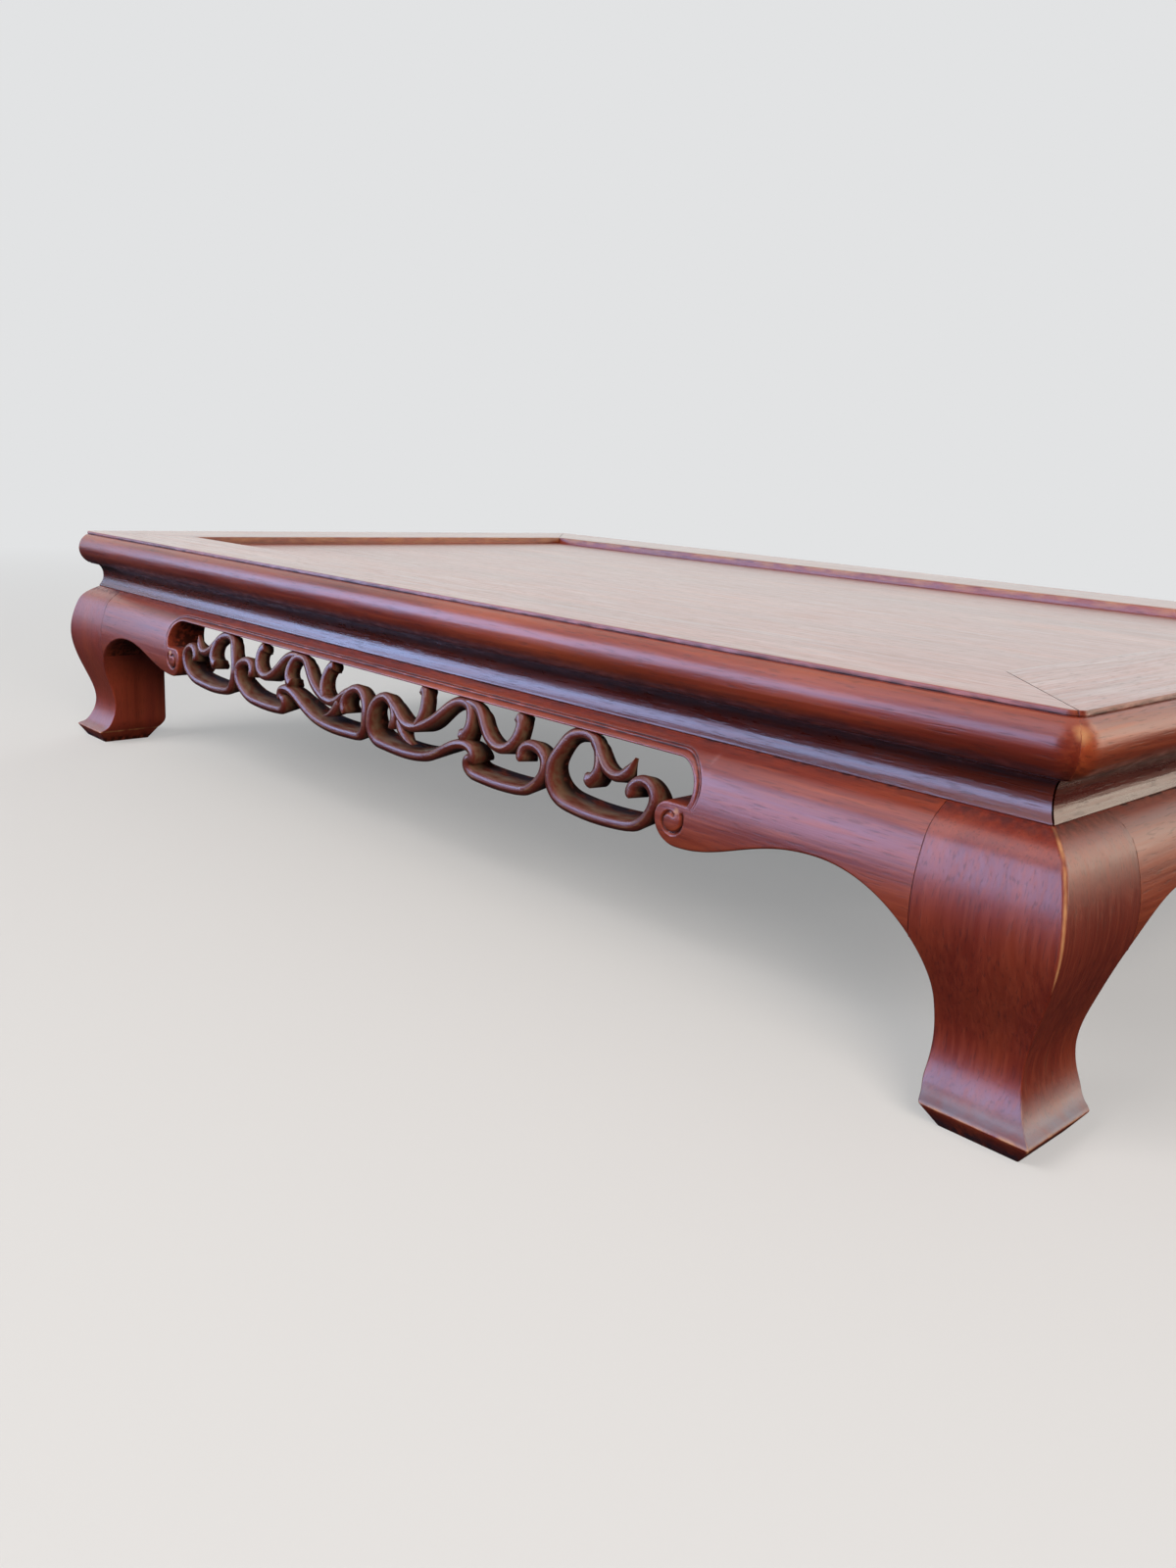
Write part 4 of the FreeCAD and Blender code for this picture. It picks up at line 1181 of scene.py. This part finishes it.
@dataclass
class Openwork:
    """Scrolls that fill one notch: strands with a rounded face, cut deep and square to the bulge."""

    side: Side
    foot: float = 70.5
    recess: float = 1.1
    crown: float = 0.9
    bevel: float = 1.5
    face_share: float = 0.78
    spread: float = 1.18
    depth_low: float = 15.0
    depth_high: float = 8.0
    drawing_end: float = 218.8
    cell_start: float = 149.1
    kept: float = 8.0
    end_reach: float = 177.2
    lift: float = 2.2
    lifted: tuple[float, float] = (27.0, 36.5)
    thinned: tuple[float, float] = (4.0, 34.0)
    slope_end: float = LEG_TOP - 8
    bulge_end: float = LEG_TOP - 6
    ridge_highlight: float = 0.3
    step: float = 0.9

    def strands(self) -> list[Strand]:
        """Strands of one half, from the panel's middle and foot; short panels have the end cell alone.

        Returns:
            The scrolls of the drawing.
        """
        end = [
            Strand([(205, 17), (204.2, 20.6), (206.5, 24.3), (211, 26), (216, 24.3), (218.8, 20), (218, 15),
                    (214, 9), (207.5, 4.6), (200, 3), (165, 3), (158, 5), (153.4, 9.8), (151.5, 16.5),
                    (152, 22.8), (155.5, 29.6), (160.5, 35), (167, 37.2), (173, 36.6), (178.5, 33.6),
                    (181.8, 29), (182, 24), (179.3, 20.3), (176, 18.6)], flare=0.4),
            Strand([(174.5, 35.9), (181, 31.5), (186, 27.6), (191, 25.2), (195.5, 25), (199.5, 27.2),
                    (202.3, 30.6), (203.8, 33.2)], width=4.6, tip=7)]
        if not self.side.is_long:
            return end
        return end + [
            Strand([(22.5, 14), (24.9, 18.5), (24, 23.5), (20, 27.6), (14, 29.4), (7.8, 27.8), (3.6, 22.8),
                    (2.3, 16.5), (3, 9), (7, 4), (14, 2.5), (45, 2.5), (56, 4.8), (66, 9.3), (75, 14.3),
                    (83, 17.2), (89.3, 17.4), (93, 15.6), (93.7, 12.6), (92, 10.6)], flare=0.25),
            Strand([(130.6, 18), (129.7, 22.3), (132, 25.9), (137, 27.2), (142.8, 25.8), (147.1, 21.8),
                    (147.1, 16), (142, 9.2), (134.5, 4.3), (125, 2.5), (97, 2.5), (92, 3.6), (89.2, 6.8),
                    (90, 10.4), (92.2, 12.4)]),
            Strand([(19.5, 27.8), (25, 25), (30.7, 20.8), (36.5, 18.4), (43.5, 18.6), (51, 21.3), (59, 26),
                    (67, 31.8), (73, 35.2), (79, 36.3), (84.3, 34.8), (87.4, 31), (87.6, 26.5), (85.3, 22.8),
                    (82.4, 21)], flare=0.45),
            Strand([(80, 36.6), (88, 36.2), (94, 33.6), (99, 29.5), (104, 25), (109, 22.2), (114, 21.4),
                    (119, 22.8), (123, 26.6), (124.8, 31.2), (124, 35), (121.6, 37.4)], flare=0.45),
            Strand([(44.5, 19.5), (47.4, 23.5), (48.5, 28.5), (47.6, 33), (45.6, 36), (43, 37.8)], width=4.4,
                   flare=0.5),
            Strand([(29.5, 20.5), (32, 15.5), (36, 11.8), (41, 9.6), (44.5, 9)], width=5.2, tip=12)]

    def stretched(self, along: Array) -> Array:
        """Fits the drawing to the notch: short panels start at the end cell, touching loops stay spaced.

        Args:
            along: places along the drawing.

        Returns:
            Places along the side.
        """
        start = 0.0 if self.side.is_long else self.cell_start

        def held(last: Array | float) -> Array | float:
            """Length of the drawing up to a place that isn't stretched."""
            return sum(np.maximum(0, np.minimum(last, meeting + self.kept) - max(start, meeting - self.kept))
                       for meeting in (0.0, self.cell_start))

        all_held = held(self.drawing_end)
        stretch = (self.side.half - self.end_reach - all_held) / (self.drawing_end - start - all_held)
        return held(along) + (along - start - held(along)) * stretch

    def add_strand(self, shell: Shell, mirror: int, strand: Strand) -> None:
        """Carries a ridged section along a smooth centre line and sinks it square to the bulge.

        The section falls away from a soft ridge as a power of the distance, is bevelled at both sides,
        and its walls run straight back. Its half width shrinks to nothing as a circle does at a round
        end, or evenly over the tip's length; a flared end widens first and closes abruptly.

        Args:
            shell: the panel's shell.
            mirror: 1 for the right half, -1 for the left.
            strand: the scroll to carve.
        """
        knots = np.array(strand.line, float)
        knots[:, 0] = self.stretched(knots[:, 0])
        knots[:, 1] += self.lift * ramp(knots[:, 1], *self.lifted)
        gone = run_lengths(knots)
        length = gone[-1]
        half = strand.width * self.spread / 2
        ends = half * (1 - np.cos(np.linspace(0, math.pi / 2, 6)))[:-1]
        middle = np.linspace(half, length - half, max(int(length / self.step), 12))
        s = np.concatenate([ends, middle, length - ends[::-1]])
        left = length - s
        centre = natural_spline(gone, knots, s)
        ahead, behind = np.minimum(s + 0.05, length), np.maximum(s - 0.05, 0)
        normal = left_normals(natural_spline(gone, knots, ahead) - natural_spline(gone, knots, behind))
        share = np.sqrt(np.clip(1 - np.clip(1 - np.minimum(s, left) / half, 0, 1) ** 2, 0, 1))
        taper = 1.0
        if strand.tip:
            share = np.minimum(share, np.clip(left / strand.tip, 0, 1) ** 0.8)
            taper = 0.3 + 0.7 * ramp(left, 0, 2 * strand.tip)[:, None]
        if strand.flare:
            blunt = np.sqrt(np.clip(left / (0.35 * half), 0, 1))
            share = np.where(left < s, blunt * (1 + strand.flare * ramp(-left, -2.2 * half, -0.5)), share)
        edge = self.face_share
        face = np.array([-1, -edge, -0.55, -0.3, -0.1, 0, 0.1, 0.3, 0.55, edge, 1.0])
        wall = np.array([0.12, 0.35, 0.7, 1.0])
        across = np.concatenate([face, np.ones(len(wall)), -np.ones(len(wall))])
        sunk = np.concatenate([np.zeros(len(face)), wall, wall[::-1]])
        on_bevel = np.clip((np.abs(across) - edge) / (1 - edge), 0, 1)
        crest = self.crown * np.clip(np.abs(across) / edge, 0, 1) ** 1.5 + self.bevel * on_bevel
        place = centre[:, None, :] + normal[:, None, :] * (across * share[:, None] * half)[..., None]
        height = self.foot + place[..., 1]
        thinner = (self.depth_high - self.depth_low) * ramp(place[..., 1], *self.thinned)
        depth = (self.depth_low + thinner) * taper
        closing = 0.6 * (1 - np.minimum(share, 1))[:, None]
        under = crest + closing + sunk * (depth - self.crown - self.bevel)
        slope = outer_slope(np.clip(height, self.foot, self.slope_end))
        run = np.sqrt(1 + slope * slope)
        out = outer_out(np.clip(height, self.foot, self.bulge_end)) - self.recess - under / run
        grid = self.side.place(mirror * place[..., 0], out, height + under * slope / run)
        # Painted highlight: a light line along the ridge of each strand's face
        wear_and_highlight = self.ridge_highlight * bell(across, 0, 0.3) * (sunk == 0)
        # Pale dust on the bevels, and painted shade that darkens the walls as they go deeper
        shell.add_sheet(grid, wear_and_highlight, 0.5 * on_bevel + 0.5 * ramp(sunk, 0.1, 0.6), closed=True)

    def build(self) -> None:
        """Carves every strand in both halves of the panel."""
        shell = Shell()
        for strand in self.strands():
            for mirror in (1, -1):
                self.add_strand(shell, mirror, strand)
        finish = Finish(self.side.finish("carved_rosewood"), self.side.grain, ground="#4d2019",
                        light="#683427", grime="#6a5846", grime_share=0.95)
        shell.piece(self.side.node("fretwork"), "scrolls", finish, "fretwork_wood")


# Studio

class LampRole(Enum):
    """Whether a lamp is seen in reflections or only lights the surfaces."""

    LIGHT = 0
    REFLECTION = 1


@dataclass(frozen=True)
class Lamp:
    """A large soft lamp that points at a target, in metres and watts."""

    name: str
    role: LampRole
    place: tuple[float, float, float]
    target: tuple[float, float, float]
    size: tuple[float, float]
    power: float
    colour: str

    def build(self) -> None:
        """Adds the lamp, unseen by the camera."""
        data = bpy.data.lights.new(self.name, "AREA")
        data.shape = "RECTANGLE"
        data.size, data.size_y = self.size
        data.energy = self.power
        data.color = linear(self.colour)[:3]
        lamp = stand(self.name, data)
        lamp.location = self.place
        lamp.rotation_euler = (Vector(self.target) - Vector(self.place)).to_track_quat("-Z", "Y").to_euler()
        lamp.visible_camera = False
        lamp.visible_glossy = self.role is LampRole.REFLECTION
        lamp.visible_diffuse = self.role is LampRole.LIGHT


@dataclass(frozen=True)
class Studio:
    """Pale floor, soft lamps and the camera at the photograph's angle, in metres."""

    eye: tuple[float, float, float] = (0.57223, -0.63454, 0.22691)
    azimuth: float = 46.0
    elevation: float = 14.24
    roll: float = 3.14
    lens: float = 28.73
    sensor: float = 36.0
    floor_size: float = 14.0
    floor_near: float = 0.2
    floor_far: float = 2.2
    floor_colour: str = "#d9dde2"
    floor_cast: str = "#2d2f36"
    backdrop: str = "#e2e3e4"
    front_glow: str = "#403c3a"
    back_glow: str = "#e1edec"
    top_glow: str = "#fff0e6"
    back_way: tuple[float, float, float] = (-0.7, 0.7, 0.05)
    cast_strength: float = 0.6
    mirror_strength: float = 2.0
    lamps: tuple[Lamp, ...] = (
        Lamp("front_light", LampRole.LIGHT, (-0.5, -2.35, 1.75), (0.1, -0.2, 0.08), (2.0, 1.2), 55,
             "#fff6ec"),
        Lamp("side_light", LampRole.LIGHT, (2.2, -1.3, 1.25), (0.35, -0.1, 0.08), (1.6, 1.2), 60, "#ffecda"),
        Lamp("cool_window", LampRole.REFLECTION, (-1.15, -1.95, 0.72), (0.2, -0.25, 0.08), (2.6, 0.95), 66,
             "#a8c7ff"),
        Lamp("pale_skylight", LampRole.REFLECTION, (-0.5, -1.5, 2.1), (0.2, -0.25, 0.08), (2.0, 1.2), 20,
             "#cfdaf5"),
        Lamp("warm_window", LampRole.REFLECTION, (1.9, 1.75, 1.2), (0.4, -0.1, 0.08), (1.8, 2.4), 43,
             "#ffefd8"),
        Lamp("back_light", LampRole.LIGHT, (-1.6, 2.4, 0.9), (0.0, 0.2, 0.08), (1.6, 1.2), 22, "#fff6ec"))

    def build(self) -> None:
        """Sets up everything round the table."""
        self.add_camera()
        self.add_floor()
        self.add_world()
        for lamp in self.lamps:
            lamp.build()
        bpy.context.scene.view_settings.view_transform = "Standard"

    def add_camera(self) -> None:
        """Places the camera: it looks along its azimuth, down by its elevation, rolled about that line."""
        azimuth, elevation, roll = (math.radians(a) for a in (self.azimuth, self.elevation, self.roll))
        level = math.cos(elevation)
        forward = Vector((-math.sin(azimuth) * level, math.cos(azimuth) * level, -math.sin(elevation)))
        across = forward.cross(Vector((0, 0, 1))).normalized()
        right = across * math.cos(roll) + across.cross(forward) * math.sin(roll)
        data = bpy.data.cameras.new("camera")
        data.lens = self.lens
        data.sensor_width = self.sensor
        data.clip_start = 0.01
        camera = stand("camera", data)
        camera.matrix_world = Matrix((right, right.cross(forward), -forward)).transposed().to_4x4()
        camera.location = self.eye
        bpy.context.scene.camera = camera

    def add_floor(self) -> None:
        """Lays a plain pale floor that fades into the backdrop and casts little light upwards."""
        half = self.floor_size / 2
        mesh = bpy.data.meshes.new("floor")
        corners = [(-half, -half, 0), (half, -half, 0), (half, half, 0), (-half, half, 0)]
        mesh.from_pydata(corners, [], [(0, 1, 2, 3)])
        material = bpy.data.materials.new("pale_floor")
        tree = empty_tree(material)
        lit = add(tree, "BsdfDiffuse", {"Color": linear(self.floor_colour)})
        dark = add(tree, "BsdfDiffuse", {"Color": linear(self.floor_cast)})
        far = add(tree, "Emission", {"Color": linear(self.backdrop)})
        place = add(tree, "TexCoord", output="Object")
        away = add(tree, "VectorMath", (place,), "Value", operation="LENGTH")
        share = add(tree, "MapRange", (away, self.floor_near, self.floor_far, 0.35))
        seen = add(tree, "MixShader", (share, lit, far))
        ray = add(tree, "LightPath", output="Is Camera Ray")
        add(tree, "OutputMaterial", {"Surface": add(tree, "MixShader", (ray, dark, seen))})
        mesh.materials.append(material)
        stand("floor", mesh)

    def add_world(self) -> None:
        """Lights everything from a surround: pale behind the table, dim in front of it, warm above."""
        world = bpy.data.worlds.new("surround")
        tree = empty_tree(world)
        way = add(tree, "TexCoord", output="Generated")
        facing = add(tree, "VectorMath", (way, self.back_way), "Value", operation="DOT_PRODUCT")
        behind = add(tree, "MapRange", (facing, 0.25, 0.8))
        above = add(tree, "MapRange", (add(tree, "SeparateXYZ", (way,), "Z"), 0.65, 1.0, 0.0, 0.75))
        colour = linear(self.front_glow)
        for share, glow in ((behind, self.back_glow), (above, self.top_glow)):
            colour = add(tree, "Mix", {0: share, 6: colour, 7: linear(glow)}, 2, data_type="RGBA")
        mirrored = add(tree, "LightPath", output="Is Glossy Ray")
        strength = add(tree, "MapRange", (mirrored, 0.0, 1.0, self.cast_strength, self.mirror_strength))
        cast = add(tree, "Background", {"Color": colour, "Strength": strength})
        seen = add(tree, "Background", {"Color": linear(self.backdrop)})
        ray = add(tree, "LightPath", output="Is Camera Ray")
        add(tree, "OutputWorld", {"Surface": add(tree, "MixShader", (ray, cast, seen))})
        bpy.context.scene.world = world


def main() -> None:
    """Builds the table's sub-assemblies in order, then the studio."""
    logging.basicConfig(level=logging.INFO, format="%(name)s %(message)s")
    for part in (TopFrame(), Waist(), Legs(), *map(Apron, Side), *map(Openwork, Side), Studio()):
        part.build()


if __name__ == "__main__":
    main()
